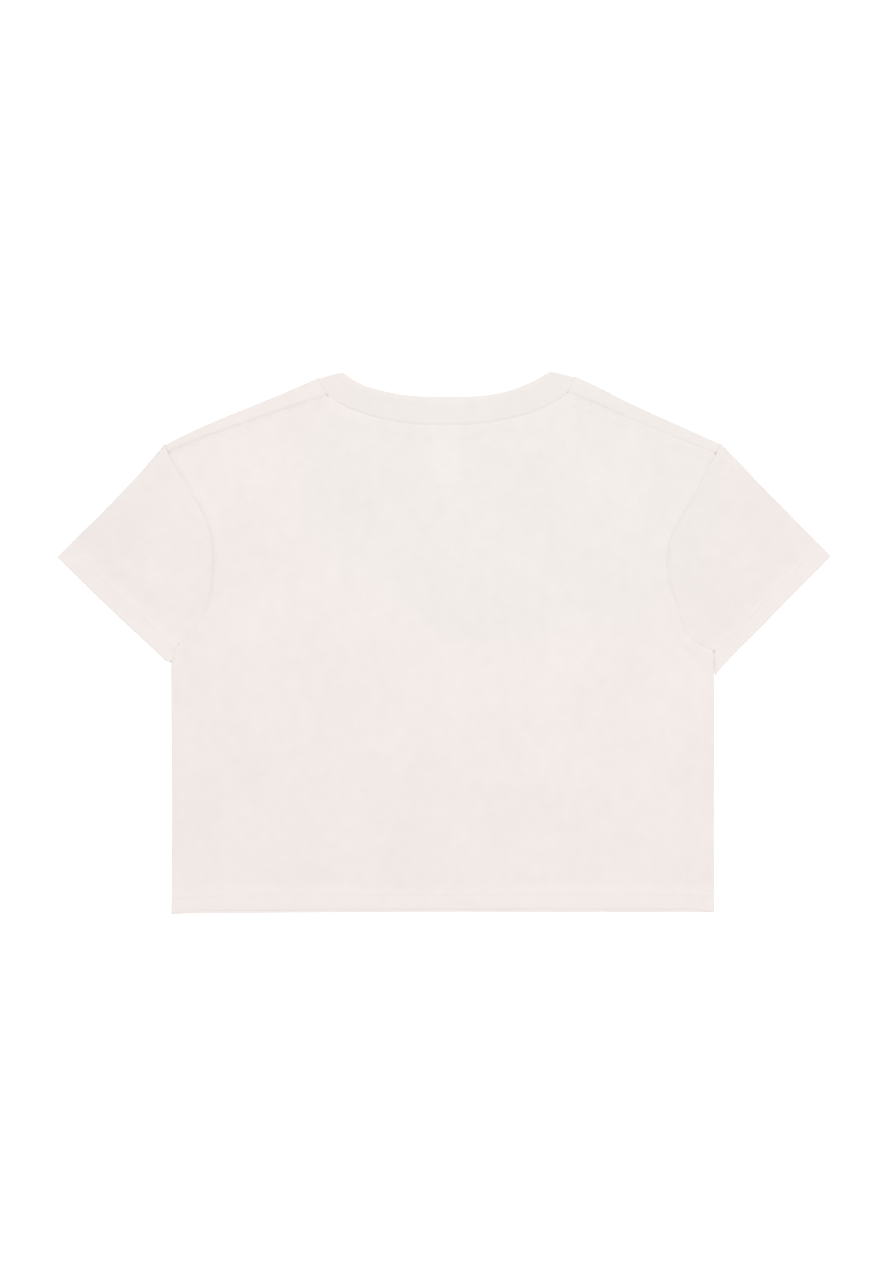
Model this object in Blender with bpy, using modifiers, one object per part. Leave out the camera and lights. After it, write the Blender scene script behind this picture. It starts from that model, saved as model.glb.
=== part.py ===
"""A crop T-shirt laid flat on a table, back upwards.

Units are metres. X runs across the garment, Y from the hem to the neck and Z up from the
table, so the front panel is the lower layer and the back panel the upper one. Left and
right are as seen from above.

Each piece that a maker cuts is one closed wall of cloth: an outer skin and an inner skin
on the same grid, joined along the open edges. A wall lies flat in the lower layer or in
the upper one, and where it turns from one to the other its section is half a circle. A
point on that turn is given by its angle: -90 degrees is the lower layer, 0 the outline
and 90 the upper layer. The sine of the angle is called its lean.
"""

import math
from typing import NamedTuple

import bmesh
import bpy
import numpy as np

# --- Cloth ---------------------------------------------------------------------------
JERSEY = 0.0010  # wall of the body and the sleeves
DOUBLING = 0.0004  # what a turned-up hem adds to it
RIB = JERSEY + DOUBLING  # wall of the neck band, which is folded double
LABEL = 0.0010  # wall of the woven label
LAYER_GAP = 0.0008  # air between the lower and the upper layer
SEAM_GAP = 0.0003  # between two pieces that are sewn together
UPPER_LAYER = JERSEY + LAYER_GAP  # height of the upper layer's inner skin

# --- Hems ----------------------------------------------------------------------------
HEM_DEPTH = 0.020  # of the turned-up cloth, at the body and the cuffs
HEM_STEP = 0.0015  # width of the slope where the doubled cloth ends
LEAST_PLAIN = 0.30  # share of a sleeve's length that is left plain where it is short
LEAST_HEM_START = 0.40  # and where its hem starts at the soonest

# --- Seams ---------------------------------------------------------------------------
SEAM_DROP_ARM = 0.006  # the shoulder seam lies this far behind the fold, at the arm
SEAM_DROP_NECK = 0.013  # and this far at the neck
ARMHOLE_RISE = 0.047  # height of the armhole curve's handle at the underarm
ARMHOLE_FALL = 0.085  # depth of its handle at the shoulder
BACK_BOW = 0.057  # how far the handles lean in, on the back
FRONT_BOW = 0.062  # and on the front, which is scooped out more

# --- Label ---------------------------------------------------------------------------
LABEL_WIDTH = 0.024
LABEL_LENGTH = 0.054
LABEL_X = 0.0025
LABEL_TUCK = 0.0002  # its top edge lies this far below the neck seam

# --- Grids ---------------------------------------------------------------------------
TURN = np.radians((0, 30, 60, 90))  # angles where a turn has its columns
SIDE_ROWS = 11  # above the hem, up to the underarm
HEM_ROWS = 2  # at each hem's edge, where the cloth is doubled
ARM_ROWS = 17
FIRST_ARM_SHARE = 0.035  # of the armhole, between the underarm and its first row
ARM_INSETS = np.array((0.0, 0.003, 0.006, 0.010))  # the turn's columns, past the underarm
SHOULDER_COLUMNS = 6
NECK_COLUMNS = 28
SLEEVE_ROWS = 7
RIB_ROWS = 4  # across the width of the neck band
END_SEARCH = 0.3  # share of a curve, at its ends, where its crossings are looked for
CURVE_SAMPLES = 2001
TANGENT_STEP = 1e-4  # share of a curve over which its direction is taken
SHARP_ANGLE = math.radians(50)


class Side(NamedTuple):
    """Corners of the outline on one side, as (x, y) seen from above."""

    name: str
    inward: int
    neck_point: tuple
    neck_seam: tuple
    shoulder: tuple
    cuff_tip: tuple
    cuff_foot: tuple
    underarm: tuple
    hem: tuple


LEFT = Side(
    name="left",
    inward=1,
    neck_point=(-0.0911, 0.2431),
    neck_seam=(-0.1114, 0.2370),
    shoulder=(-0.2512, 0.1772),
    cuff_tip=(-0.3467, 0.0768),
    cuff_foot=(-0.2545, -0.0127),
    underarm=(-0.2456, -0.0190),
    hem=(-0.2451, -0.2431),
)
RIGHT = Side(
    name="right",
    inward=-1,
    neck_point=(0.0961, 0.2430),
    neck_seam=(0.1172, 0.2381),
    shoulder=(0.2486, 0.1772),
    cuff_tip=(0.3467, 0.0773),
    cuff_foot=(0.2465, -0.0276),
    underarm=(0.2435, -0.0325),
    hem=(0.2432, -0.2431),
)


class Neckline(NamedTuple):
    """A line that hangs between its two ends and is lowest midway."""

    start: tuple
    end: tuple
    bottom: float
    flatness: float
    roundness: float


BACK_EDGE = Neckline(LEFT.neck_point, RIGHT.neck_point, 0.2205, 2.6, 1.0)
BACK_SEAM = Neckline(LEFT.neck_seam, RIGHT.neck_seam, 0.1955, 3.1, 1.0)
FRONT_EDGE = Neckline(LEFT.neck_point, RIGHT.neck_point, 0.1390, 2.4, 1.45)
FRONT_SEAM = Neckline(LEFT.neck_seam, RIGHT.neck_seam, 0.1140, 2.5, 1.55)


class Crease(NamedTuple):
    """A soft ridge of the upper layer, from one point to another."""

    start: tuple
    end: tuple
    height: float
    width: float


CREASES = (
    Crease(start=(-0.225, -0.040), end=(-0.150, 0.025), height=0.0009, width=0.017),
    Crease(start=(0.222, -0.055), end=(0.140, 0.005), height=0.0008, width=0.016),
    Crease(start=(-0.185, 0.120), end=(-0.115, 0.055), height=0.0006, width=0.021),
    Crease(start=(0.115, 0.145), end=(0.060, 0.030), height=0.0008, width=0.026),
    Crease(start=(-0.120, -0.085), end=(0.015, -0.135), height=0.0007, width=0.024),
    Crease(start=(0.065, -0.120), end=(0.185, -0.150), height=0.0006, width=0.022),
    Crease(start=(-0.212, -0.085), end=(-0.198, -0.190), height=0.0008, width=0.019),
    Crease(start=(-0.302, 0.072), end=(-0.238, 0.038), height=0.0008, width=0.014),
    Crease(start=(0.298, 0.060), end=(0.234, 0.026), height=0.0008, width=0.014),
)
CREASE_ENDS = 0.35  # share of a crease's height that is left at its ends


class Skin(NamedTuple):
    """One face of a wall: its radius in a turn, and the height of the turn's middle."""

    radius: float
    middle: float
    outer: bool


JERSEY_MIDDLE = (UPPER_LAYER + JERSEY) / 2
JERSEY_SKINS = (
    Skin(JERSEY_MIDDLE, JERSEY_MIDDLE, True),
    Skin(JERSEY_MIDDLE - JERSEY, JERSEY_MIDDLE, False),
)
RIB_MIDDLE = (UPPER_LAYER + RIB) / 2
RIB_SKINS = (
    Skin(RIB_MIDDLE, RIB_MIDDLE, True),
    Skin(RIB_MIDDLE - RIB, RIB_MIDDLE, False),
)


class Panel(NamedTuple):
    """A body panel, and how far from the shoulder fold its flat part ends."""

    lean: int
    bow: float
    seam: Neckline
    drop_arm: float
    drop_neck: float


BACK = Panel(
    lean=1,
    bow=BACK_BOW,
    seam=BACK_SEAM,
    drop_arm=SEAM_DROP_ARM + SEAM_GAP / 2,
    drop_neck=SEAM_DROP_NECK + SEAM_GAP / 2,
)
FRONT = Panel(
    lean=-1,
    bow=FRONT_BOW,
    seam=FRONT_SEAM,
    drop_arm=JERSEY_MIDDLE,
    drop_neck=JERSEY_MIDDLE,
)


class Finish(NamedTuple):
    """Colour and roughness of a piece's material."""

    name: str
    colour: tuple
    roughness: float


JERSEY_FINISH = Finish("cotton_jersey", (0.87, 0.83, 0.80), 0.92)
RIB_FINISH = Finish("cotton_rib", (0.87, 0.83, 0.80), 0.90)
LABEL_FINISH = Finish("woven_label", (0.90, 0.88, 0.86), 0.55)


# --- Plane geometry ------------------------------------------------------------------
def mix(a, b, share):
    """The points a share of the way from a to b."""
    share = np.asarray(share, float)[..., None]
    return (1 - share) * np.asarray(a, float) + share * np.asarray(b, float)


def distance(points, line):
    """How far points lie from the endless line through two points."""
    start, end = (np.asarray(point, float) for point in line)
    along = (end - start) / np.linalg.norm(end - start)
    offset = np.asarray(points, float) - start
    return np.abs(offset[..., 0] * along[1] - offset[..., 1] * along[0])


def share_at(curve, line, gaps, end):
    """Shares of a curve where it lies these gaps from a line that its end is on.

    end is 0 for the curve's start and 1 for its finish.
    """
    shares = np.abs(end - np.linspace(0, END_SEARCH, CURVE_SAMPLES))
    return np.interp(gaps, distance(curve(shares), line), shares)


def moved_off(curve, shares, gap):
    """Points of a curve moved by a gap to the left of the way in which it runs."""
    ahead = curve(np.clip(shares + TANGENT_STEP, 0, 1))
    behind = curve(np.clip(shares - TANGENT_STEP, 0, 1))
    along = (ahead - behind) / np.linalg.norm(ahead - behind, axis=-1, keepdims=True)
    left = np.stack([-along[..., 1], along[..., 0]], axis=-1)
    return curve(shares) + gap * left


def armhole(side, bow):
    """The armhole seam as a cubic curve, from the underarm to the shoulder."""
    low, high = np.array(side.underarm), np.array(side.shoulder)
    low_handle = low + (side.inward * bow, ARMHOLE_RISE)
    high_handle = high + (side.inward * bow, -ARMHOLE_FALL)

    def curve(shares):
        t = np.asarray(shares, float)[..., None]
        return (
            (1 - t) ** 3 * low
            + 3 * (1 - t) ** 2 * t * low_handle
            + 3 * (1 - t) * t**2 * high_handle
            + t**3 * high
        )

    return curve


def neck_curve(line):
    """A neckline as a curve from left to right.

    With s from -1 to 1 across it, its depth is (1 - s^flatness)^(1 / roundness).
    """
    start, end = np.array(line.start), np.array(line.end)
    depth = (start[1] + end[1]) / 2 - line.bottom

    def curve(shares):
        across = -np.cos(math.pi * np.asarray(shares, float))
        hang = (1 - np.abs(across) ** line.flatness) ** (1 / line.roundness)
        down = np.stack([np.zeros_like(hang), depth * hang], axis=-1)
        return mix(start, end, (across + 1) / 2) - down

    return curve


def shoulder_line(side):
    return side.neck_seam, side.shoulder


def arm_end(side, bow, gap):
    """Share of the armhole that lies a gap from the shoulder line."""
    return share_at(armhole(side, bow), shoulder_line(side), gap, 1)


def neck_end(side, line, gap):
    """Share of a neckline that lies a gap from one side's shoulder line."""
    end = 0 if side.inward > 0 else 1
    return share_at(neck_curve(line), shoulder_line(side), gap, end)


def arm_shares(side, panel):
    """Shares of the armhole where a panel, and the sleeve beside it, have their rows."""
    return np.linspace(FIRST_ARM_SHARE, arm_end(side, panel.bow, panel.drop_arm), ARM_ROWS)


def neck_shares(panel):
    """Shares of a panel's neck seam where it, and the neck band, have their columns."""
    ends = (neck_end(side, panel.seam, panel.drop_neck) for side in (LEFT, RIGHT))
    return np.linspace(*ends, NECK_COLUMNS + 1)


# --- Heights -------------------------------------------------------------------------
def lift(points):
    """Height that the creases add: a bell across each one, lower at its ends."""
    total = np.zeros(points.shape[:-1])
    for crease in CREASES:
        start, end = np.array(crease.start), np.array(crease.end)
        length = np.linalg.norm(end - start)
        share = np.clip((points - start) @ (end - start) / length**2, 0, 1)
        off = np.linalg.norm(points - mix(start, end, share), axis=-1)
        taper = CREASE_ENDS + (1 - CREASE_ENDS) * np.sin(math.pi * share)
        total += crease.height * taper * np.exp(-((off / crease.width) ** 2))
    return total


def inset(skin, angles):
    """How far in from the outline a skin lies at these angles of a turn."""
    return skin.middle - skin.radius * np.cos(angles)


def placed(skin, points, lean, doubled=0.0):
    """Points in the plane given their height, as rows of (x, y, z).

    The underside stays flat on the table, so doubled cloth grows up from each layer's
    lower skin.
    """
    extra = DOUBLING * np.asarray(doubled)
    above = skin.radius + lift(points) + (extra if skin.outer else 0)
    below = skin.radius - (0 if skin.outer else extra)
    lean = np.broadcast_to(lean, points.shape[:-1])
    z = skin.middle + np.maximum(lean, 0) * above + np.minimum(lean, 0) * below
    return np.concatenate([points, z[..., None]], axis=-1).reshape(-1, 3)


# --- Walls ---------------------------------------------------------------------------
def grid_faces(index):
    """Four-sided faces between the rows and columns of an array of point numbers."""
    corners = index[:-1, :-1], index[:-1, 1:], index[1:, 1:], index[1:, :-1]
    return np.stack([corner.ravel() for corner in corners], axis=-1).tolist()


def open_edges(faces):
    """Edges that only one face has, in the order in which that face runs."""
    directed = [edge for face in faces for edge in zip(face, face[1:] + face[:1])]
    known = set(directed)
    return [(a, b) for a, b in directed if (b, a) not in known]


def cloth_wall(name, outer, inner, faces, finish, collection):
    """A closed wall: the outer skin, the inner one, and strips along its open edges."""
    count = len(outer)
    inner_faces = [[point + count for point in reversed(face)] for face in faces]
    strips = [[b, a, a + count, b + count] for a, b in open_edges(faces)]
    mesh = bpy.data.meshes.new(name)
    points = np.concatenate([outer, inner]).tolist()
    mesh.from_pydata(points, [], faces + inner_faces + strips)
    shape = bmesh.new()
    shape.from_mesh(mesh)
    bmesh.ops.recalc_face_normals(shape, faces=shape.faces)
    shape.to_mesh(mesh)
    shape.free()
    mesh.shade_smooth()
    mesh.set_sharp_from_angle(angle=SHARP_ANGLE)
    mesh.materials.append(finish)
    collection.objects.link(bpy.data.objects.new(name, mesh))


def material(finish):
    """A Principled material of one colour."""
    made = bpy.data.materials.new(finish.name)
    made.use_nodes = True
    shader = made.node_tree.nodes["Principled BSDF"]
    shader.inputs["Base Color"].default_value = (*finish.colour, 1.0)
    shader.inputs["Roughness"].default_value = finish.roughness
    shader.inputs["Metallic"].default_value = 0.0
    return made


# --- Body panels ---------------------------------------------------------------------
def shoulder_row(arm, neck):
    """Points from the armhole to the neck, closer together beside the armhole.

    arm and neck may each hold one point or a column of them.
    """
    along = (neck - arm) / np.linalg.norm(neck - arm, axis=-1, keepdims=True)
    beside = arm[..., None, :] + along[..., None, :] * ARM_INSETS[:, None]
    shares = np.linspace(0, 1, SHOULDER_COLUMNS + 1)[1:]
    rest = mix(beside[..., -1:, :], neck[..., None, :], shares)
    return np.concatenate([beside, rest], axis=-2)


def side_rows(side):
    """Shares of the way from the hem to the underarm: two for the hem, then even."""
    length = side.underarm[1] - side.hem[1]
    above_hem = (HEM_DEPTH + HEM_STEP) / length
    seam = SEAM_GAP / 2 / length
    even = np.linspace(above_hem, 1 - seam, SIDE_ROWS)
    return np.concatenate([[0.0, HEM_DEPTH / length], even])


def side_columns(side, panel, skin):
    """The columns beside one edge of a panel, from its edge inwards, and their leans."""
    straight = mix(side.hem, side.underarm, side_rows(side))
    curve = armhole(side, panel.bow)
    arm = moved_off(curve, arm_shares(side, panel), -side.inward * SEAM_GAP / 2)
    angles = np.array([math.asin(SEAM_GAP / 2 / skin.radius), *TURN[1:]])
    inward = np.array([side.inward, 0.0])
    turned = straight[:, None] + inward * inset(skin, angles)[:, None]
    neck = neck_curve(panel.seam)(neck_end(side, panel.seam, panel.drop_neck))
    slope = (neck - arm[-1]) / np.linalg.norm(neck - arm[-1])
    ways = mix(inward, slope, np.linspace(0, 1, len(arm)))
    flat = arm[:, None] + ways[:, None] * ARM_INSETS[:, None]
    leans = np.ones((len(straight) + len(arm), len(angles)))
    leans[: len(straight)] = np.sin(angles)
    return np.concatenate([turned, flat]), panel.lean * leans


def patch(top, left, right):
    """A grid filled in between a panel's upper edge, its two side edges and its hem.

    Columns under the neck run straight up. Those under the shoulders also follow the
    side edge, the more the nearer they are to it.
    """
    neck = slice(SHOULDER_COLUMNS, -SHOULDER_COLUMNS)
    across = top[:, 0]
    u = np.clip((across - across[neck][0]) / (across[0] - across[neck][0]), 0, 1)
    w = np.clip((across - across[neck][-1]) / (across[-1] - across[neck][-1]), 0, 1)
    corners = left[0, 0] - across[0], right[0, 0] - across[-1]
    bottom_x = across + u * corners[0] + w * corners[1]
    bottom_y = np.interp(bottom_x, (left[0, 0], right[0, 0]), (left[0, 1], right[0, 1]))
    bottom = np.stack([bottom_x, bottom_y], axis=-1)
    rise = np.linalg.norm(np.diff(left, axis=0), axis=1).cumsum()
    v = np.concatenate([[0], rise / rise[-1]])[:, None, None]
    rows = (1 - v) * bottom + v * top
    from_left = (left - rows[:, 0])[:, None] * u[:, None]
    from_right = (right - rows[:, -1])[:, None] * w[:, None]
    return rows + from_left + from_right


def top_edge(panel, ends):
    """The panel's upper edge between its two armholes: shoulder, neck, shoulder."""
    neck = moved_off(neck_curve(panel.seam), neck_shares(panel), -SEAM_GAP / 2)
    left, right = (
        shoulder_row(end, point) for end, point in zip(ends, (neck[0], neck[-1]))
    )
    turn = len(TURN) - 1
    return np.concatenate([left[turn:], neck[1:-1], right[turn:][::-1]])


def panel_grid(panel, skin):
    """A panel's flat part as a grid of points with their leans and hem shares."""
    (left, left_lean), (right, right_lean) = (
        side_columns(side, panel, skin) for side in (LEFT, RIGHT)
    )
    top = top_edge(panel, (left[-1, 0], right[-1, 0]))
    left[-1, -1], right[-1, -1] = top[0], top[-1]
    middle = patch(top, left[:, -1], right[:, -1])
    points = np.concatenate([left[:, :-1], middle, right[:, -2::-1]], axis=1)
    lean = np.full(points.shape[:2], float(panel.lean))
    turn = len(TURN)
    lean[:, :turn] = left_lean
    lean[:, -turn:] = right_lean[:, ::-1]
    doubled = np.zeros(points.shape[:2])
    doubled[:HEM_ROWS] = 1.0
    return points, lean, doubled


def build_back(collection, finish):
    """The back panel: the upper layer, up to the shoulder seams and the neck seam."""
    skins = []
    for skin in JERSEY_SKINS:
        points, lean, doubled = panel_grid(BACK, skin)
        skins.append(placed(skin, points, lean, doubled))
    faces = grid_faces(np.arange(len(skins[0])).reshape(points.shape[:2]))
    cloth_wall("back_panel", *skins, faces, finish, collection)


def over_shoulder(side, skin):
    """Rows of the front panel that turn over the shoulder and lie on the back.

    Returns their points, from the armhole to the neck, and their leans.
    """
    angles = np.concatenate([-TURN[-2:0:-1], TURN])
    gaps = inset(skin, angles)
    arm_gaps = np.append(gaps, SEAM_DROP_ARM - SEAM_GAP / 2)
    neck_gaps = np.append(gaps, SEAM_DROP_NECK - SEAM_GAP / 2)
    leans = np.append(np.sin(angles), 1.0)
    arm_curve, seam_curve = armhole(side, BACK.bow), neck_curve(BACK.seam)
    arm_shares_over = arm_end(side, BACK.bow, arm_gaps)
    neck_shares_over = neck_end(side, BACK.seam, neck_gaps)
    arm = moved_off(arm_curve, arm_shares_over, -side.inward * SEAM_GAP / 2)
    neck = moved_off(seam_curve, neck_shares_over, -SEAM_GAP / 2)
    return shoulder_row(arm, neck), leans[:, None]


def build_front(collection, finish):
    """The front panel: the lower layer, and its strips over both shoulders."""
    skins = []
    for skin in JERSEY_SKINS:
        points, lean, doubled = panel_grid(FRONT, skin)
        parts = [placed(skin, points, lean, doubled)]
        for side in (LEFT, RIGHT):
            strip, strip_lean = over_shoulder(side, skin)
            parts.append(placed(skin, strip, strip_lean))
        skins.append(np.concatenate(parts))
    flat = np.arange(points.shape[0] * points.shape[1]).reshape(points.shape[:2])
    faces = grid_faces(flat)
    count = strip.shape[1]
    shoulders = flat[-1, :count], flat[-1, ::-1][:count]
    for number, seam in enumerate(shoulders):
        first = flat.size + number * strip.shape[0] * count
        rows = np.arange(first, first + strip.shape[0] * count).reshape(-1, count)
        strip_faces = grid_faces(np.vstack([seam, rows]))
        faces += strip_faces if number == 0 else [face[::-1] for face in strip_faces]
    cloth_wall("front_panel", *skins, faces, finish, collection)


# --- Sleeves -------------------------------------------------------------------------
def ring_shares(curve, side, skin, between, angles):
    """Shares of a curve across a sleeve: its turn at the underarm, the flat, its turn
    at the top."""
    gaps = inset(skin, angles)
    under = share_at(curve, (side.underarm, side.cuff_foot), gaps, 0)
    top = share_at(curve, (side.shoulder, side.cuff_tip), gaps, 1)
    return np.concatenate([under, between, top[::-1]])


def sleeve_layer(side, skin, panel, between, angles):
    """One layer of a sleeve: the points where its columns leave the armhole and where
    they reach the cuff, and their leans."""
    seam = armhole(side, panel.bow)
    gap = side.inward * SEAM_GAP / 2
    start = moved_off(seam, ring_shares(seam, side, skin, between, angles), gap)

    def cuff(shares):
        return mix(side.cuff_foot, side.cuff_tip, shares)

    end = cuff(ring_shares(cuff, side, skin, between, angles))
    turn = panel.lean * np.sin(angles)
    flat = np.full(len(between), float(panel.lean))
    return start, end, np.concatenate([turn, flat, turn[::-1]])


def sleeve_rows(side, start):
    """Shares of the way from the armhole to the cuff, a row for each ring."""
    length = distance(start, (side.cuff_foot, side.cuff_tip))
    plain = np.maximum(1 - (HEM_DEPTH + HEM_STEP) / length, LEAST_PLAIN)
    hem = np.maximum(1 - HEM_DEPTH / length, LEAST_HEM_START)
    even = np.linspace(0, 1, SLEEVE_ROWS)[:, None] * plain
    return np.concatenate([even, [hem, np.ones_like(hem)]])


def build_sleeve(side, collection, finish):
    """A sleeve: a flattened tube, ruled from the armhole to the cuff."""
    skins = []
    for skin in JERSEY_SKINS:
        upper = sleeve_layer(side, skin, BACK, arm_shares(side, BACK), TURN)
        lower = sleeve_layer(side, skin, FRONT, arm_shares(side, FRONT)[:-1], TURN[1:])
        start, end, lean = (
            np.concatenate([over, under[::-1]]) for over, under in zip(upper, lower)
        )
        points = mix(start, end, sleeve_rows(side, start))
        doubled = np.zeros(points.shape[:2])
        doubled[-HEM_ROWS:] = 1.0
        skins.append(placed(skin, points, lean, doubled))
    index = np.arange(len(skins[0])).reshape(points.shape[:2])
    faces = grid_faces(np.hstack([index, index[:, :1]]))
    cloth_wall(f"sleeve_{side.name}", *skins, faces, finish, collection)


# --- Neck band -----------------------------------------------------------------------
def band_curve(seam, edge, across):
    """The line along the neck band at a share of the way from its seam to its edge."""
    seam_curve, edge_curve = neck_curve(seam), neck_curve(edge)

    def curve(shares):
        return mix(moved_off(seam_curve, shares, SEAM_GAP / 2), edge_curve(shares), across)

    return curve


def band_ring(skin, across):
    """The neck band's points along that line: its back, a turn, its front, a turn.

    The lower half of each turn lies straight under the upper half.
    """
    back = band_curve(BACK_SEAM, BACK_EDGE, across)
    front = band_curve(FRONT_SEAM, FRONT_EDGE, across)
    gaps = inset(skin, TURN)
    left = back(share_at(back, (LEFT.neck_seam, LEFT.neck_point), gaps, 0))
    right = back(share_at(back, (RIGHT.neck_seam, RIGHT.neck_point), gaps, 1))
    above, below = back(neck_shares(BACK)), front(neck_shares(FRONT)[1:-1])
    return np.concatenate([left, above, right[::-1], right[1:], below[::-1], left[:0:-1]])


def build_neck_rib(collection, finish):
    """The neck band: a ring whose back half is above and whose front half is below."""
    above, below = (np.ones(NECK_COLUMNS + count) for count in (1, -1))
    turn = np.sin(TURN)
    lean = [turn, above, turn[::-1], -turn[1:], -below, -turn[:0:-1]]
    skins = []
    for skin in RIB_SKINS:
        rows = [band_ring(skin, across) for across in np.linspace(0, 1, RIB_ROWS)]
        skins.append(placed(skin, np.array(rows), np.concatenate(lean)))
    index = np.arange(len(skins[0])).reshape(RIB_ROWS, -1)
    faces = grid_faces(np.hstack([index, index[:, :1]]))
    cloth_wall("neck_rib", *skins, faces, finish, collection)


# --- Label ---------------------------------------------------------------------------
def build_label(collection, finish):
    """The woven label: a bare strip that hangs inside from the back of the neck seam."""
    top = BACK_SEAM.bottom - LABEL_TUCK
    bpy.ops.mesh.primitive_plane_add(size=1)
    label = bpy.context.active_object
    label.name = "neck_label"
    label.data.name = label.name
    height = UPPER_LAYER - SEAM_GAP
    label.location = (LABEL_X, top - LABEL_LENGTH / 2, height)
    label.scale = (LABEL_WIDTH, LABEL_LENGTH, 1)
    bpy.ops.object.transform_apply(location=False, rotation=False, scale=True)
    wall = label.modifiers.new("Wall", "SOLIDIFY")
    wall.thickness = LABEL
    wall.offset = -1
    label.data.materials.append(finish)
    for holder in list(label.users_collection):
        holder.objects.unlink(label)
    collection.objects.link(label)


def main():
    for old in list(bpy.data.objects):
        bpy.data.objects.remove(old, do_unlink=True)
    collection = bpy.data.collections.new("crop_top")
    bpy.context.scene.collection.children.link(collection)
    jersey = material(JERSEY_FINISH)
    build_front(collection, jersey)
    build_back(collection, jersey)
    for side in (LEFT, RIGHT):
        build_sleeve(side, collection, jersey)
    build_neck_rib(collection, material(RIB_FINISH))
    build_label(collection, material(LABEL_FINISH))


main()
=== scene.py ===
"""The look of a crop T-shirt laid flat on a table, back upwards.

Units are metres. X runs across the garment, Y from the hem to the neck and Z up from the
table, so the front panel is the lower layer and the back panel the upper one. Left and
right are as seen from above.

Each piece of cloth is a thin closed shell. Its outer skin is worked out in the plane
first, as a grid of (x, y) points, and then given heights:

    z = middle + layer * (radius * lean + relief)

where layer is 1 above and -1 below, and lean is the sine of the angle by which the cloth
has turned round the outline: 0 on the fold and 1 on the flat.
"""

import logging
import math
from collections.abc import Callable
from dataclasses import dataclass, field, replace
from enum import Enum
from functools import partial

import bpy
import numpy as np
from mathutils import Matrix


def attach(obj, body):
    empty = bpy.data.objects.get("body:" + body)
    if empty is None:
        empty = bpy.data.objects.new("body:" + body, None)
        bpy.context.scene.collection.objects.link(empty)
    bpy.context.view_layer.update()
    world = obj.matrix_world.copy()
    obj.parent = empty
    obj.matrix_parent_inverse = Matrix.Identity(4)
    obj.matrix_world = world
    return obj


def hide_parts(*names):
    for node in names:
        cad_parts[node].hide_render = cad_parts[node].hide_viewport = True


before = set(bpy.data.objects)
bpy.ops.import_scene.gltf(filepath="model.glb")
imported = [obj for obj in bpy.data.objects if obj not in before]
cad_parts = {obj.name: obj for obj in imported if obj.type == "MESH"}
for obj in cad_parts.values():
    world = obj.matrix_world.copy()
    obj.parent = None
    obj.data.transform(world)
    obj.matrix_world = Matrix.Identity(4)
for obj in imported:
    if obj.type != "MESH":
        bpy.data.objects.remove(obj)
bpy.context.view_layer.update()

logging.basicConfig(level=logging.INFO, format="%(message)s")
LOG = logging.getLogger("crop_top")

Array = np.ndarray
Point = tuple[float, float]
Number = float | tuple[float, ...]
MM = 0.001
BODY = "root"


# --- Sizes shared by the pieces ---
JERSEY_WALL = 0.70 * MM
RIB_WALL = 1.20 * MM
TURN_RADIUS = 1.40 * MM  # of the jersey's outer skin where it turns round the outline
RIB_RADIUS = 1.60 * MM
SEAM_GAP = 0.60 * MM  # between two skins that are sewn together, before their edges round
HEM_DEPTH = 20.6 * MM
HEM_DOUBLING = 0.42 * MM
EDGE_THINNING = 0.40 * MM  # where the cloth is pressed flat along a hem's edge
NEEDLE_ROWS = (12.9 * MM, 18.9 * MM)  # twin-needle rows, measured up from the hem's edge
STITCH_PITCH = 3.1 * MM
TURN_ANGLES = np.radians((14.0, 28.0, 43.0, 58.0, 74.0, 90.0))


# --- Plane geometry ---
def mix(start: Array | Point, end: Array | Point, share: Array | float) -> Array:
    """The points a share of the way from start to end."""
    part = np.asarray(share, float)[..., None]
    return (1 - part) * np.asarray(start, float) + part * np.asarray(end, float)


def smooth(value: Array) -> Array:
    """A soft step from 0 to 1: 3 t^2 - 2 t^3 of the value held within 0 and 1."""
    t = np.clip(value, 0.0, 1.0)
    return t * t * (3 - 2 * t)


def bell(value: Array) -> Array:
    """A soft peak of height 1 at value 0: e to the power of minus its square."""
    return np.exp(-(value**2))


def unit(vectors: Array) -> Array:
    """Vectors brought to length 1."""
    return vectors / np.maximum(np.linalg.norm(vectors, axis=-1, keepdims=True), 1e-12)


def run_along(points: Array) -> Array:
    """Length of a chain from its first point to each of its points."""
    return np.concatenate([[0.0], np.linalg.norm(np.diff(points, axis=0), axis=1).cumsum()])


def with_zero(points: Array) -> Array:
    """Points of the plane with a third part of 0."""
    return np.concatenate([points, np.zeros((*points.shape[:-1], 1))], axis=-1)


def off_line(points: Array, start: Point, end: Point) -> Array:
    """How far points lie from the endless line through start and end.

    Args:
        points: Points in the plane.
        start: One point of the line.
        end: Another one.

    Returns:
        The distances.
    """
    along = unit(np.subtract(end, start))
    offset = points - np.asarray(start)
    return np.abs(offset[..., 0] * along[1] - offset[..., 1] * along[0])


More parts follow.
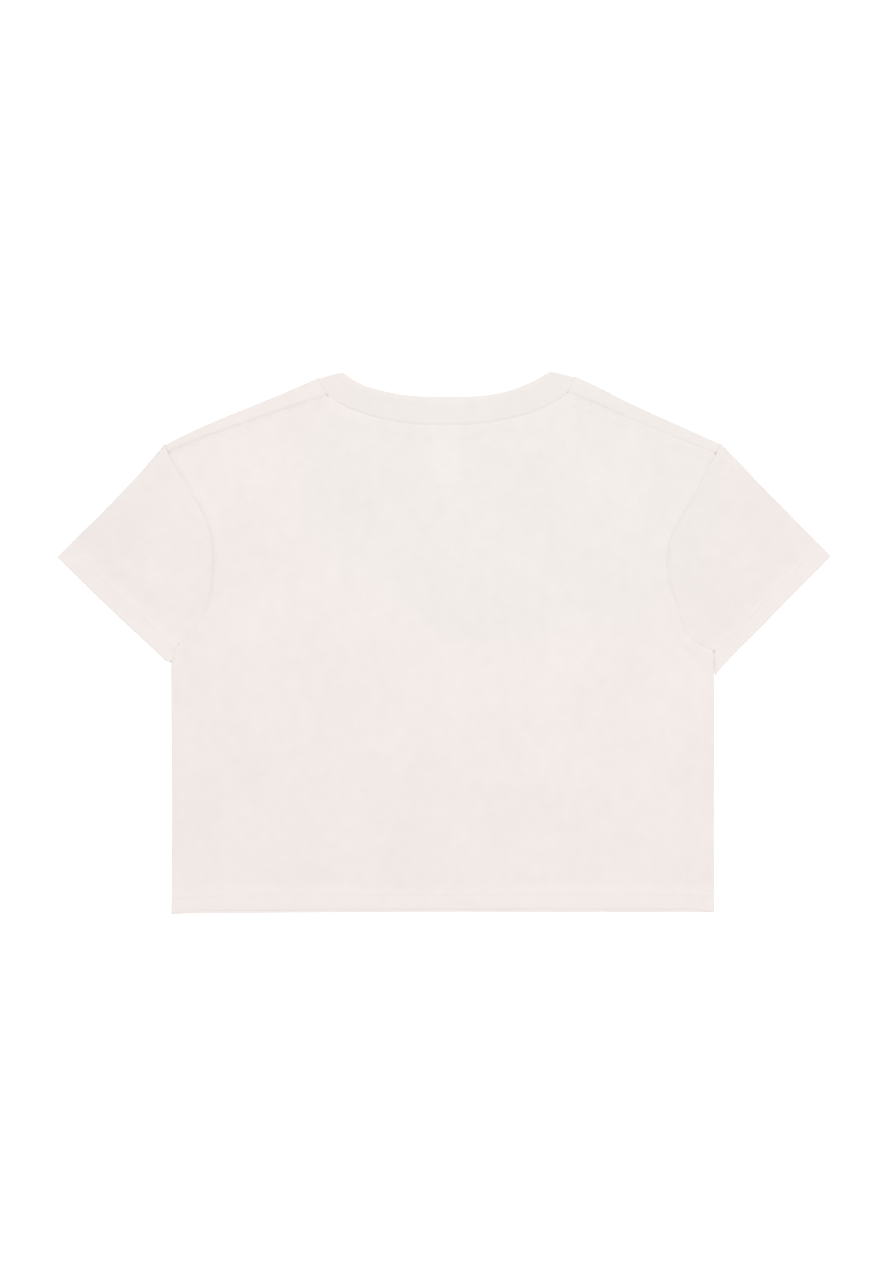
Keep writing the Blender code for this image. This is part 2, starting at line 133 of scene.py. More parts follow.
class Curve:
    """A line in the plane, run through by a share from 0 at its start to 1 at its end."""

    SAMPLES = 2001
    SEARCH = 0.3
    NUDGE = 1e-4

    def at(self, shares: Array | float) -> Array:
        """Points of the curve at these shares."""
        raise NotImplementedError

    def moved_off(self, shares: Array | float, gap: float) -> Array:
        """Points moved by a gap to the left of the way in which the curve runs.

        Args:
            shares: Where on the curve.
            gap: How far to the left, in metres. A negative gap is to the right.

        Returns:
            The points, one for each share.
        """
        shares = np.asarray(shares, float)
        ahead, behind = (self.at(np.clip(shares + step, 0, 1)) for step in (self.NUDGE, -self.NUDGE))
        along = unit(ahead - behind)
        left = np.stack([-along[..., 1], along[..., 0]], axis=-1)
        return self.at(shares) + gap * left

    def share_off(self, line: tuple[Point, Point], gaps: Array | float, end: int) -> Array:
        """Shares where the curve lies these gaps from a line that one of its ends is on.

        Args:
            line: Two points of the line.
            gaps: Distances from the line, in metres.
            end: 0 where the curve's start is on the line, 1 where its end is.

        Returns:
            The shares, one for each gap.
        """
        shares = np.abs(end - np.linspace(0, self.SEARCH, self.SAMPLES))
        return np.interp(gaps, off_line(self.at(shares), *line), shares)

    def track(self, count: int = 160) -> "Track":
        """The curve as a chain of short straight pieces."""
        return Track(self.at(np.linspace(0, 1, count)))

    def even(self, pitch: float, start: float = 0.0, end: float = 1.0) -> Array:
        """Shares that are a pitch apart along the curve, between two of its shares.

        Args:
            pitch: Length from one share to the next, in metres.
            start: Where on the curve they start.
            end: Where they end.

        Returns:
            The shares.
        """
        shares = np.linspace(start, end, self.SAMPLES)
        run = run_along(self.at(shares))
        count = max(2, round(run[-1] / pitch) + 1)
        return np.interp(np.linspace(0, run[-1], count), run, shares)


@dataclass(frozen=True)
class Straight(Curve):
    """A straight line between two points."""

    start: Point
    end: Point

    def at(self, shares: Array | float) -> Array:
        """Points a share of the way along."""
        return mix(self.start, self.end, shares)


@dataclass(frozen=True)
class Neckline(Curve):
    """A line that hangs between its two ends and is lowest midway."""

    start: Point
    end: Point
    bottom: float
    flatness: float
    roundness: float

    def at(self, shares: Array | float) -> Array:
        """Points of the curve: with s from -1 to 1 across, its depth is
        (1 - s^flatness)^(1 / roundness) of the whole.

        Args:
            shares: From 0 at the left to 1 at the right.

        Returns:
            The points, one for each share.
        """
        across = -np.cos(math.pi * np.asarray(shares, float))
        depth = (self.start[1] + self.end[1]) / 2 - self.bottom
        hang = np.clip(1 - np.abs(across) ** self.flatness, 0, 1) ** (1 / self.roundness)
        down = np.stack([np.zeros_like(hang), depth * hang], axis=-1)
        return mix(self.start, self.end, (across + 1) / 2) - down


@dataclass(frozen=True)
class Side:
    """Corners of the outline on one side, as (x, y) seen from above."""

    name: str
    inward: int
    neck_point: Point
    neck_seam: Point
    shoulder: Point
    cuff_tip: Point
    cuff_foot: Point
    underarm: Point
    hem: Point
    armhole: tuple[Point, ...]
    seam: tuple[float, float, float, float]  # armhole: depth, its least share, pinch and width
    gather: float  # how much the sleeve's wales crowd towards the underarm
    fan: float  # share of the cuff, from its foot, whose wales all start at the underarm
    row_start: float  # share of the cuff where its needle rows begin
    shoulder_drop: tuple[float, float]  # of the shoulder seam behind the fold, at arm and neck
    pale: float  # painted shade: tone added to the sleeve's cloth, where cloth lying double is 1; below 0 it darkens the sleeve

    @property
    def neck_start(self) -> int:
        """Share of a neckline at this side: they run from the left to the right."""
        return 0 if self.inward > 0 else 1

    @property
    def shoulder_line(self) -> tuple[Point, Point]:
        """The fold over the shoulder."""
        return self.neck_seam, self.shoulder

    @property
    def under_line(self) -> tuple[Point, Point]:
        """The fold along the sleeve's underside."""
        return self.underarm, self.cuff_foot

    @property
    def top_line(self) -> tuple[Point, Point]:
        """The fold along the sleeve's top."""
        return self.shoulder, self.cuff_tip


LEFT = Side(
    name="left",
    inward=1,
    neck_point=(-0.0911, 0.2431),
    neck_seam=(-0.1114, 0.2370),
    shoulder=(-0.2512, 0.1772),
    cuff_tip=(-0.3467, 0.0768),
    cuff_foot=(-0.2498, -0.0172),
    underarm=(-0.2456, -0.0190),
    hem=(-0.2451, -0.2431),
    armhole=(
        *((-0.2424, -0.0075), (-0.2338, 0.0035), (-0.2197, 0.0205), (-0.2123, 0.0385), (-0.2097, 0.0600)),
        *((-0.2092, 0.0860), (-0.2140, 0.1080), (-0.2228, 0.1260), (-0.2372, 0.1500), (-0.2450, 0.1620)),
    ),
    seam=(1.55, 0.24, 0.32, 1.0),
    gather=1.1,
    fan=0.0,
    row_start=0.025,
    shoulder_drop=(7.6 * MM, 16.2 * MM),
    pale=-0.45,
)
RIGHT = Side(
    name="right",
    inward=-1,
    neck_point=(0.0961, 0.2430),
    neck_seam=(0.1172, 0.2381),
    shoulder=(0.2486, 0.1772),
    cuff_tip=(0.3467, 0.0773),
    cuff_foot=(0.2443, -0.0296),
    underarm=(0.2439, -0.0095),
    hem=(0.2432, -0.2431),
    armhole=(
        *((0.2325, -0.0035), (0.2220, 0.0035), (0.2160, 0.0160), (0.2106, 0.0330), (0.2042, 0.0490)),
        *((0.2026, 0.0690), (0.2036, 0.0880), (0.2122, 0.1080), (0.2247, 0.1285), (0.2378, 0.1560)),
    ),
    seam=(1.50, 0.20, 0.20, 0.68),
    gather=1.7,
    fan=0.10,
    row_start=0.10,
    shoulder_drop=(10.0 * MM, 14.9 * MM),
    pale=-0.75,
)
SIDES = (LEFT, RIGHT)

BACK_EDGE = Neckline(LEFT.neck_point, RIGHT.neck_point, 0.2205, 2.6, 1.0)
BACK_SEAM = Neckline(LEFT.neck_seam, RIGHT.neck_seam, 0.1953, 1.9, 2.0)
FRONT_EDGE = Neckline(LEFT.neck_point, RIGHT.neck_point, 0.1390, 2.4, 1.45)
FRONT_SEAM = Neckline(LEFT.neck_seam, RIGHT.neck_seam, 0.1140, 2.5, 1.55)


@dataclass(frozen=True)
class Armhole(Curve):
    """The armhole seam, from the underarm to the shoulder, as a smooth line through points."""

    side: Side
    scoop: float

    def at(self, shares: Array | float) -> Array:
        """Points of a cubic through each pair of points, with the chords of their neighbours
        as slopes: (2a^3 - 3a^2 + 1) p + (a^3 - 2a^2 + a) m + (3a^2 - 2a^3) q + (a^3 - a^2) n.

        The scoop moves them inwards by scoop * (4 s (1 - s))^2.

        Args:
            shares: From 0 at the underarm to 1 at the shoulder.

        Returns:
            The points, one for each share.
        """
        share = np.asarray(shares, float)
        knots = np.array((self.side.underarm, *self.side.armhole, self.side.shoulder))
        run = run_along(knots)
        slopes = np.gradient(knots, run, axis=0)
        place = np.clip(share, 0, 1) * run[-1]
        first = np.clip(np.searchsorted(run, place, side="right") - 1, 0, len(knots) - 2)
        width = (run[first + 1] - run[first])[..., None]
        a = (place - run[first])[..., None] / width
        ends = (2 * a**3 - 3 * a**2 + 1) * knots[first] + (3 * a**2 - 2 * a**3) * knots[first + 1]
        bend = (a**3 - 2 * a**2 + a) * slopes[first] + (a**3 - a**2) * slopes[first + 1]
        inward = self.side.inward * self.scoop * (4 * share * (1 - share)) ** 2
        return ends + bend * width + np.stack([inward, 0 * inward], axis=-1)


@dataclass(frozen=True)
class Track:
    """A chain of straight pieces that distances are measured from."""

    points: Array
    reach: float = 0.045
    CHUNK = 8192

    def away(self, where: Array) -> tuple[Array, Array]:
        """How far points lie from the chain, and how far along it their feet are.

        The foot on each straight piece is found by projection, and the nearest counts.
        Points further off than the reach are given the reach.

        Args:
            where: Points in the plane, in an array of any shape.

        Returns:
            Distances, and lengths along the chain from its start, both in metres.
        """
        flat = where.reshape(-1, 2)
        low, high = self.points.min(axis=0) - self.reach, self.points.max(axis=0) + self.reach
        near = np.flatnonzero(((flat > low) & (flat < high)).all(axis=1))
        distance, along = np.full(len(flat), self.reach), np.zeros(len(flat))
        start, step = self.points[:-1], np.diff(self.points, axis=0)
        length = np.linalg.norm(step, axis=1)
        run = np.concatenate([[0.0], length.cumsum()[:-1]])
        for part in np.array_split(near, max(1, len(near) // self.CHUNK)):
            offset = flat[part][:, None] - start
            share = np.clip((offset * step).sum(axis=-1) / length**2, 0, 1)
            gap = np.linalg.norm(offset - share[..., None] * step, axis=-1)
            nearest = gap.argmin(axis=1)
            rows = np.arange(len(part))
            distance[part] = np.minimum(gap[rows, nearest], self.reach)
            along[part] = run[nearest] + share[rows, nearest] * length[nearest]
        return distance.reshape(where.shape[:-1]), along.reshape(where.shape[:-1])


HEM_BOW = 0.9 * MM
BOW_TOP = 90 * MM  # x of the bow's highest place, to the right of the middle
BOW_REACH = 260 * MM
BACK_SHORTER = 1.8 * MM  # than the front, apart from the side seams
RISE_FADE = 160 * MM  # height above the hem up to which its rise is felt


def inside_hem(x: Array) -> Array:
    """How far places on the hem lie from the nearer side seam."""
    return np.minimum(x - LEFT.hem[0], RIGHT.hem[0] - x)


def hem_rise(x: Array) -> Array:
    """How far the front hem lies above the straight line between its corners:
    bow * (1 - ((x - top) / reach)^2)."""
    return HEM_BOW * (1 - ((x - BOW_TOP) / BOW_REACH) ** 2)


def back_hem_rise(x: Array) -> Array:
    """The same of the back hem, which is cut shorter. That fades out at the side seams."""
    return hem_rise(x) + BACK_SHORTER * smooth(inside_hem(x) / (30 * MM))


class Layer(Enum):
    """Which of the two layers of the laid garment a skin belongs to."""

    UPPER = 1
    LOWER = -1


@dataclass(frozen=True)
class Cut:
    """How a body panel is cut."""

    layer: Layer
    scoop: float
    neck: Neckline

    def drops(self, side: Side) -> tuple[float, float]:
        """How far behind the shoulder fold its flat part ends, at the arm and at the neck.

        Args:
            side: The left or the right one.

        Returns:
            Both lengths, in metres.
        """
        if self.layer is Layer.UPPER:
            return side.shoulder_drop[0] + SEAM_GAP / 2, side.shoulder_drop[1] + SEAM_GAP / 2
        return TURN_RADIUS, TURN_RADIUS

    def armhole(self, side: Side) -> Armhole:
        """The panel's armhole on one side."""
        return Armhole(side, self.scoop)

    def arm_end(self, side: Side) -> float:
        """Share of the armhole where the panel's upper edge starts."""
        return float(self.armhole(side).share_off(side.shoulder_line, self.drops(side)[0], 1))

    def neck_end(self, side: Side) -> float:
        """Share of the neck seam where it meets the panel's shoulder edge."""
        return float(self.neck.share_off(side.shoulder_line, self.drops(side)[1], side.neck_start))


BACK = Cut(Layer.UPPER, 0.0, BACK_SEAM)
FRONT = Cut(Layer.LOWER, 4.0 * MM, FRONT_SEAM)


def shoulder_seam(side: Side) -> Straight:
    """The line where the front panel's strip meets the back panel, behind the fold.

    Args:
        side: The left or the right one.

    Returns:
        The line, from the arm to the neck.
    """
    arm = BACK.armhole(side)
    arm_drop, neck_drop = side.shoulder_drop
    at_arm = arm.at(arm.share_off(side.shoulder_line, arm_drop, 1))
    at_neck = BACK_SEAM.at(BACK_SEAM.share_off(side.shoulder_line, neck_drop, side.neck_start))
    return Straight(tuple(at_arm), tuple(at_neck))


def folds() -> list[Track]:
    """The lines round which the cloth turns from one layer to the other.

    Returns:
        The lines, as chains of points.
    """
    low = [(side.hem, side.underarm, side.cuff_foot) for side in SIDES]
    high = [(side.cuff_tip, side.shoulder, side.neck_seam, side.neck_point) for side in SIDES]
    return [Track(np.array(chain), reach=4 * MM) for chain in low + high]


# --- Relief of the cloth ---
@dataclass(frozen=True)
class Crease:
    """A soft ridge, or a trough if its height is negative, from one point to another."""

    start: Point
    end: Point
    height: float
    width: float
    ends: float = 0.3

    def lift(self, points: Array) -> Array:
        """Height that the crease adds: a bell across it, lower at its ends.

        Args:
            points: Points in the plane.

        Returns:
            The heights.
        """
        start, end = np.array(self.start), np.array(self.end)
        share = np.clip((points - start) @ (end - start) / ((end - start) ** 2).sum(), 0, 1)
        off = np.linalg.norm(points - mix(start, end, share), axis=-1)
        taper = self.ends + (1 - self.ends) * np.sin(math.pi * share)
        return self.height * taper * bell(off / self.width)


def wavering(along: Array, *waves: tuple[float, float, float]) -> Array:
    """1 plus height * sin(along / length + phase) for each wave, with lengths in millimetres."""
    return 1 + sum(height * np.sin(along / (length * MM) + phase) for height, length, phase in waves)


@dataclass(frozen=True)
class SewnEdge:
    """Section of the cloth beside a seam, by the distance from it.

    The cloth dips into the seam, and where the allowance lies under it, it is raised by
    a strip that ends in a soft step. The strip puckers along the seam.
    """

    groove: float = 0.30 * MM
    groove_width: float = 0.9 * MM
    raised: float = 0.0
    allowance: float = 7.0 * MM
    softness: float = 2.4 * MM
    pucker: float = 0.05 * MM
    pucker_pitch: float = 13.0 * MM
    deepest: float | None = None  # length along the seam where the groove is deepest
    least: float = 0.38  # share of the groove's depth far from there
    reach: float = 36 * MM
    pinch: float = 0.5  # share of the depth that is added where the seam starts
    spread: float = 0.12  # how much wider the groove is at its deepest place
    PINCH_REACH = 5 * MM
    SHOULDER = 1.3  # width over which the cloth rises out of the groove, in groove widths
    PUCKER_REACH = 6.5 * MM

    def groove_at(self, along: Array) -> Array:
        """Depth of the groove: it wavers, and is least + (1 - least) * bell of it round its
        deepest place, with a pinch where the seam starts.

        Args:
            along: Lengths along the seam.

        Returns:
            The depths.
        """
        depth = self.groove * wavering(along, (0.16, 4.6, 0), (0.12, 2.1, 1.3))
        if self.deepest is None:
            return depth
        share = self.least + (1 - self.least) * bell((along - self.deepest) / self.reach)
        return depth * (share + self.pinch * bell(along / self.PINCH_REACH))

    def width_at(self, along: Array) -> Array | float:
        """Width of the groove, which spreads by a bell round its deepest place.

        Args:
            along: Lengths along the seam.

        Returns:
            The widths.
        """
        if self.deepest is None:
            return self.groove_width
        return self.groove_width * (1 + self.spread * bell((along - self.deepest) / (0.7 * self.reach)))

    def lift(self, away: Array, along: Array, layer: Layer = Layer.UPPER) -> Array:
        """Height beside the seam.

        Args:
            away: Distances from the seam.
            along: Lengths along the seam, for the puckers.
            layer: The layer. The lower one lies on the table, so nothing stands out of it.

        Returns:
            raised * strip * rise - groove * bell + pucker * two waves along the seam.
        """
        raised = self.raised if layer is Layer.UPPER else 0.0
        edge = self.allowance * wavering(along, (0.10, 17, 0), (0.05, 6.1, 0))
        strip = smooth((edge - away) / self.softness + 0.5)
        rise = 1 - bell(away / (self.SHOULDER * self.groove_width))
        turn = 2 * math.pi * along / self.pucker_pitch
        waves = np.sin(turn) + 0.6 * np.sin(1.73 * turn + 1.1)
        fade = np.exp(-away / self.PUCKER_REACH) * rise
        dip = self.groove_at(along) * bell(away / self.width_at(along))
        return raised * strip * rise - dip + self.pucker * waves * fade


@dataclass(frozen=True)
class Hem:
    """Section of a turned-up hem, by the height above its edge."""

    depth: float = HEM_DEPTH
    doubling: float = HEM_DOUBLING
    step: float = 5.0 * MM
    slope: float = 10.0 * MM
    stitch_dip: float = 0.09 * MM
    dip_width: float = 0.55 * MM
    edge_round: float = 0.36 * MM
    round_width: float = 0.9 * MM
    crush_height: float = 3.9 * MM  # of a faint pressed line, deeper towards the right
    crush_dip: float = 0.09 * MM
    crush_least: float = 0.25  # share of its dip that it has at the left
    crush_run: float = 80 * MM  # across the middle, over which it deepens
    roll: float = 0.8  # painted highlight: how much lighter the rolled edge is made, counted as extra cloth
    roll_width: float = 3.2 * MM
    pucker: float = 0.035 * MM
    pucker_pitch: float = 11.5 * MM
    pucker_width: float = 5 * MM

    def doubled(self, above: Array) -> Array:
        """1 where the cloth is double, 0 beyond the step, and more along the rolled edge; as tone it is
        painted light, lighter where the cloth lies double, with a painted highlight along the rolled edge.
        """
        return smooth((self.depth - above) / self.step + 0.5) + self.roll * bell(above / self.roll_width)

    def lift(self, above: Array, along: Array, layer: Layer) -> Array:
        """Height of the hem: the doubling, less a dip at each needle row and a rounded edge,
        with slight puckers between the rows. Below, the doubling grows inwards instead.

        Args:
            above: Heights above the hem's edge, in the plane.
            along: Places along the hem.
            layer: The layer on which it lies.

        Returns:
            The heights.
        """
        rise = smooth((self.depth - above) / self.slope + 0.5)
        total = self.doubling * rise if layer is Layer.UPPER else 0.0 * above
        for row in NEEDLE_ROWS:
            total = total - self.stitch_dip * bell((above - row) / self.dip_width)
        total = total - self.edge_round * np.exp(-above / self.round_width)
        rightwards = smooth(along / self.crush_run + 0.5)
        crush = self.crush_dip * (self.crush_least + (1 - self.crush_least) * rightwards)
        total = total - crush * bell((above - self.crush_height) / self.dip_width)
        turn = along / self.pucker_pitch * 2 * math.pi
        waves = np.sin(turn) * np.sin(0.31 * turn + 0.7) + 0.5 * np.sin(1.61 * turn)
        return total + self.pucker * waves * bell((above - self.depth) / self.pucker_width)


def creases(*rows: tuple[float, ...]) -> list[Crease]:
    """Creases from rows in millimetres: x and y of the start, of the end, height and width."""
    table = np.array(rows) * MM
    return [Crease((x, y), (to_x, to_y), height, width) for x, y, to_x, to_y, height, width in table]


CREASES = creases(
    *((-225, -40, -150, 25, 0.65, 14), (-232, -62, -168, -12, -0.40, 10)),
    *((222, -55, 140, 5, 0.60, 13), (228, -75, 170, -36, -0.35, 9)),
    *((-185, 120, -115, 55, 0.45, 19), (-150, 137, -60, 70, -0.30, 20)),
    *((115, 145, 60, 30, 0.60, 24), (150, 110, 108, 12, -0.35, 18)),
    *((-120, -85, 15, -135, 0.50, 22), (-150, -130, -30, -182, -0.35, 17)),
    *((65, -120, 185, -150, 0.45, 20), (20, -160, 120, -185, -0.35, 13)),
    *((60, -203, 108, -211, 0.45, 6), (-212, -85, -198, -190, 0.60, 16)),
    *((-232, -105, -222, -205, -0.40, 10), (205, -110, 215, -205, -0.35, 13)),
    *((-302, 72, -238, 38, 0.60, 12), (-292, 92, -232, 64, -0.35, 10)),
    *((-286, 40, -246, 12, 0.35, 8), (298, 60, 234, 26, 0.60, 12)),
    *((288, 86, 230, 58, -0.35, 10), (276, 30, 240, 6, 0.35, 8)),
    *((-168, 160, -120, 182, 0.30, 10), (30, 150, 38, 60, 0.25, 12)),
)
# The lower layer lies on the table, so its creases only lift it.
LOWER_CREASES = creases(
    *((-215, -60, -140, 15, -0.30, 9), (215, -70, 130, -10, -0.30, 9)),
    *((-110, -120, 30, -160, -0.22, 11), (70, -80, 180, -110, -0.25, 10)),
    *((120, 80, 60, 20, -0.22, 12), (-150, 60, -70, 30, -0.20, 11)),
    *((-295, 66, -240, 36, -0.28, 8), (292, 58, 236, 28, -0.28, 8)),
)


class Lie:
    """How the cloth lies: the turn round the outline, its creases and its unevenness."""

    DROOPS = ((0.58 * MM, 17 * MM), (0.40 * MM, 3.0 * MM))  # depth and reach at the back hem
    DROOP_FADE = 20 * MM
    SETTLING = np.array(  # place, push and reach, in millimetres
        (
            *((-232, 188, -0.5, 1.5, 34), (-200, 200, -0.6, 1.4, 34), (-165, 214, -0.5, 1.0, 34)),
            *((-132, 228, -0.4, 0.6, 30), (-96, 240, -0.5, 0.6, 18), (-74, 236, -0.6, -1.6, 16)),
            *((-40, 224, -0.1, -0.5, 26), (0, 220, 0.0, 0.5, 30), (40, 224, 0.1, -0.4, 26)),
            *((96, 240, 0.8, 0.9, 18), (132, 229, 0.2, 0.9, 30), (165, 216, 0.1, 0.3, 34)),
            *((200, 200, 0.2, 0.4, 34), (232, 188, 0.5, 0.9, 34), (-262, 162, 0.9, -0.7, 30)),
            *((-300, 122, 0.7, -0.7, 36), (-340, 80, -0.8, 0.4, 36), (262, 162, 1.0, 1.1, 30)),
            *((300, 122, 1.0, 1.0, 36), (340, 80, 1.6, 0.8, 36), (-310, 32, -0.4, -0.3, 34)),
            *((-262, -8, 0.1, 0.6, 30), (310, 32, -0.3, 0.4, 34), (262, -14, -0.8, 1.1, 30)),
            *((-245, -70, 0.2, 0.0, 50), (-245, -150, 0.7, 0.0, 50), (245, -70, 0.2, 0.3, 50)),
            *((240, -230, 0.6, 0.4, 45), (-150, -243, 0.0, 0.2, 60), (0, -243, 0.0, 0.3, 60)),
        )
    ) * MM

    SWELL = (  # height, wave across, wave along, phase: waves to a metre
        (0.075 * MM, 9.0, 5.5, 0.3),
        (0.060 * MM, -6.5, 12.0, 1.9),
        (0.045 * MM, 17.0, -8.0, 4.1),
        (0.030 * MM, 23.0, 19.0, 2.6),
        (0.022 * MM, -31.0, 27.0, 0.9),
        (0.016 * MM, 47.0, -36.0, 5.2),
    )

    def __init__(self) -> None:
        """Sets up the fold lines."""
        self.folds = folds()

    def lean(self, points: Array, radius: float) -> Array:
        """Sine of the turn: sqrt(1 - (1 - d / radius)^2) at a distance d from the outline."""
        nearest = np.min([fold.away(points)[0] for fold in self.folds], axis=0)
        return np.sqrt(1 - (1 - np.clip(nearest / radius, 0, 1)) ** 2)

    def swell(self, points: Array) -> Array:
        """Long low waves of cloth that was pressed by hand.

        Args:
            points: Points in the plane.

        Returns:
            The heights.
        """
        x, y = points[..., 0], points[..., 1]
        waves = (h * np.sin(2 * math.pi * (a * x + b * y) + p) for h, a, b, p in self.SWELL)
        return sum(waves)

    def settled(self, points: Array) -> Array:
        """Points after the cloth has settled: each moves by the sum of the pushes, and each
        push fades as a bell of the distance from its place.

        Args:
            points: Points in the plane.

        Returns:
            The moved points.
        """
        moved = points.copy()
        for x, y, push_x, push_y, reach in self.SETTLING:
            share = bell(np.hypot(points[..., 0] - x, points[..., 1] - y) / reach)
            moved += share[..., None] * np.array((push_x, push_y))
        return moved

    def droop(self, points: Array) -> Array:
        """How far the back hem hangs down until it rests on the front one: bells of the
        height above its edge, which fade out towards the side seams.

        Args:
            points: Points in the plane.

        Returns:
            The depths.
        """
        x, y = points[..., 0], points[..., 1]
        above = y - LEFT.hem[1] - back_hem_rise(x)
        hang = sum(depth * bell(above / reach) for depth, reach in self.DROOPS)
        return hang * smooth(inside_hem(x) / self.DROOP_FADE)

    def broad(self, points: Array, layer: Layer) -> Array:
        """Creases and swell of one layer. Below, they only lift the cloth off the table.

        Args:
            points: Points in the plane.
            layer: The layer.

        Returns:
            The heights.
        """
        if layer is Layer.UPPER:
            return sum(crease.lift(points) for crease in CREASES) + self.swell(points) - self.droop(points)
        return sum(crease.lift(points) for crease in LOWER_CREASES) - np.abs(self.swell(points)) * 0.5


LIE = Lie()


# --- Skins and shells ---
@dataclass
class Skin:
    """Points of one face of the cloth, with all that is known of each.

    plan holds (x, y), layer 1 or -1, fine the height of fine form, doubled how much more
    cloth than one wall lies there, with more added where a highlight is painted, as over the label and
    at folded edges, for the material paints light by it; weave the place in the knit, and lean, once base
    has been called, the sine of the angle by which the cloth has turned round the outline.
    """

    plan: Array
    layer: Array
    fine: Array
    doubled: Array
    weave: Array
    radius: float = TURN_RADIUS
    lean: Array | None = None

    def base(self) -> Array:
        """The smooth surface, with creases but without seams, as rows of (x, y, z).

        Returns:
            The points.
        """
        self.lean = LIE.lean(self.plan, self.radius)
        above, below = (LIE.broad(self.plan, layer) for layer in (Layer.UPPER, Layer.LOWER))
        broad = np.where(self.layer > 0, above, below)
        z = self.radius + self.layer * self.lean * (self.radius + broad)
        return np.concatenate([LIE.settled(self.plan), z[..., None]], axis=-1).reshape(-1, 3)

    def height(self) -> Array:
        """Fine relief along the surface's normal, softer round the outline.

        On the lower layer nothing stands out of the skin, because it rests on the table.
        """
        soft = self.fine * (0.25 + 0.75 * self.lean)
        return np.where(self.layer > 0, soft, np.minimum(soft, 0)).ravel()


def grid_faces(index: Array) -> Array:
    """Four-sided faces between the rows and columns of an array of point numbers."""
    corners = index[:-1, :-1], index[:-1, 1:], index[1:, 1:], index[1:, :-1]
    return np.stack([corner.ravel() for corner in corners], axis=-1)


def point_normals(points: Array, faces: Array) -> Array:
    """Unit normals at the points: the sum of the cross products of each face's diagonals.

    Args:
        points: Rows of (x, y, z).
        faces: Rows of four point numbers.

    Returns:
        The normals, one for each point.
    """
    a, b, c, d = (points[faces[:, corner]] for corner in range(4))
    normal = np.cross(c - a, d - b)
    total = np.zeros_like(points)
    for corner in range(4):
        for axis in range(3):
            total[:, axis] += np.bincount(faces[:, corner], normal[:, axis], len(points))
    return unit(total)


@dataclass
class Shell:
    """A closed wall of cloth: an outer skin, an inner one and rounded edges between them."""

    name: str
    outer: Array
    inner: Array
    faces: Array
    weave: Array
    doubled: Array
    least_bulge: float = 0.58 * SEAM_GAP  # so that the edges of two sewn pieces meet
    ARC_STEPS = 3

    def rim(self) -> tuple[Array, Array, Array]:
        """The open edges of the skin.

        Returns:
            The points on them, and for each the next and the one before it, as the faces
            beside them run.
        """
        start = self.faces.ravel()
        end = np.roll(self.faces, -1, axis=1).ravel()
        count = len(self.outer)
        alone = ~np.isin(start * count + end, end * count + start)
        start, end = start[alone], end[alone]
        after, before = np.zeros(count, int), np.zeros(count, int)
        after[start], before[end] = end, start
        return start, after[start], before[start]

    def rounded(self) -> tuple[Array, Array, Array]:
        """The rounded edges: arcs over each rim point, from the outer to the inner skin.

        Each arc is middle + cos(t) * half + sin(t) * |half| * outward.

        Returns:
            The points of the arcs, the rim points, and the number of each in its rim.
        """
        rim, after, before = self.rim()
        along = self.outer[after] - self.outer[before]
        half = (self.outer[rim] - self.inner[rim]) / 2
        out = unit(np.cross(along, half))
        size = np.maximum(np.linalg.norm(half, axis=1, keepdims=True), self.least_bulge)
        turns = np.linspace(0, math.pi, self.ARC_STEPS + 2)[1:-1]
        middle = (self.outer[rim] + self.inner[rim]) / 2
        arcs = [middle + math.cos(t) * half + math.sin(t) * size * out for t in turns]
        return np.array(arcs), rim, after

    def build(self, material: bpy.types.Material) -> bpy.types.Object:
        """Joins the skins and edges into a mesh.

        Args:
            material: The cloth's finish.

        Returns:
            The finished object, riding on the body.
        """
        arcs, rim, after = self.rounded()
        count, edge = len(self.outer), len(rim)
        place = np.zeros(count, int)
        place[rim] = np.arange(edge)
        first = 2 * count + edge * np.arange(len(arcs))
        ladder = [rim, *(start + np.arange(edge) for start in first), rim + count]
        ladder_next = [after, *(start + place[after] for start in first), after + count]
        strips = [
            np.stack([b, a, a_low, b_low], axis=-1)
            for a, b, a_low, b_low in zip(ladder, ladder_next, ladder[1:], ladder_next[1:])
        ]
        points = on_table(np.concatenate([self.outer, self.inner, arcs.reshape(-1, 3)]))
        faces = np.concatenate([self.faces, self.faces[:, ::-1] + count, *strips])
        spread = np.concatenate([np.arange(count), np.arange(count), np.tile(rim, len(arcs))])
        mesh = mesh_of(self.name, points, faces)
        add_values(mesh, "weave", "FLOAT_VECTOR", self.weave[spread])
        add_values(mesh, "doubled", "FLOAT", self.doubled[spread])
        return placed(mesh, material)


def on_table(points: Array) -> Array:
    """Points with none below the table's top, which is at height 0."""
    return np.column_stack([points[:, :2], np.maximum(points[:, 2], 0.0)])


def mesh_of(name: str, points: Array, faces: Array) -> bpy.types.Mesh:
    """A smooth mesh of four-sided faces.

    Args:
        name: The mesh's name, and later its object's.
        points: Rows of (x, y, z).
        faces: Rows of four point numbers, facing outwards.

    Returns:
        The mesh.
    """
    mesh = bpy.data.meshes.new(name)
    mesh.vertices.add(len(points))
    mesh.vertices.foreach_set("co", np.ascontiguousarray(points, np.float32).ravel())
    mesh.loops.add(faces.size)
    mesh.loops.foreach_set("vertex_index", faces.ravel().astype(np.int32))
    mesh.polygons.add(len(faces))
    mesh.polygons.foreach_set("loop_start", np.arange(0, faces.size, 4, dtype=np.int32))
    mesh.update(calc_edges=True)
    mesh.validate()
    mesh.shade_smooth()
    return mesh


def add_values(mesh: bpy.types.Mesh, name: str, kind: str, values: Array) -> None:
    """Stores a value, or a vector, for each point of a mesh.

    Args:
        mesh: The mesh.
        name: Name of the attribute.
        kind: FLOAT or FLOAT_VECTOR.
        values: One for each point.
    """
    key = "vector" if kind == "FLOAT_VECTOR" else "value"
    made = mesh.attributes.new(name, kind, "POINT")
    made.data.foreach_set(key, np.ascontiguousarray(values, np.float32).ravel())


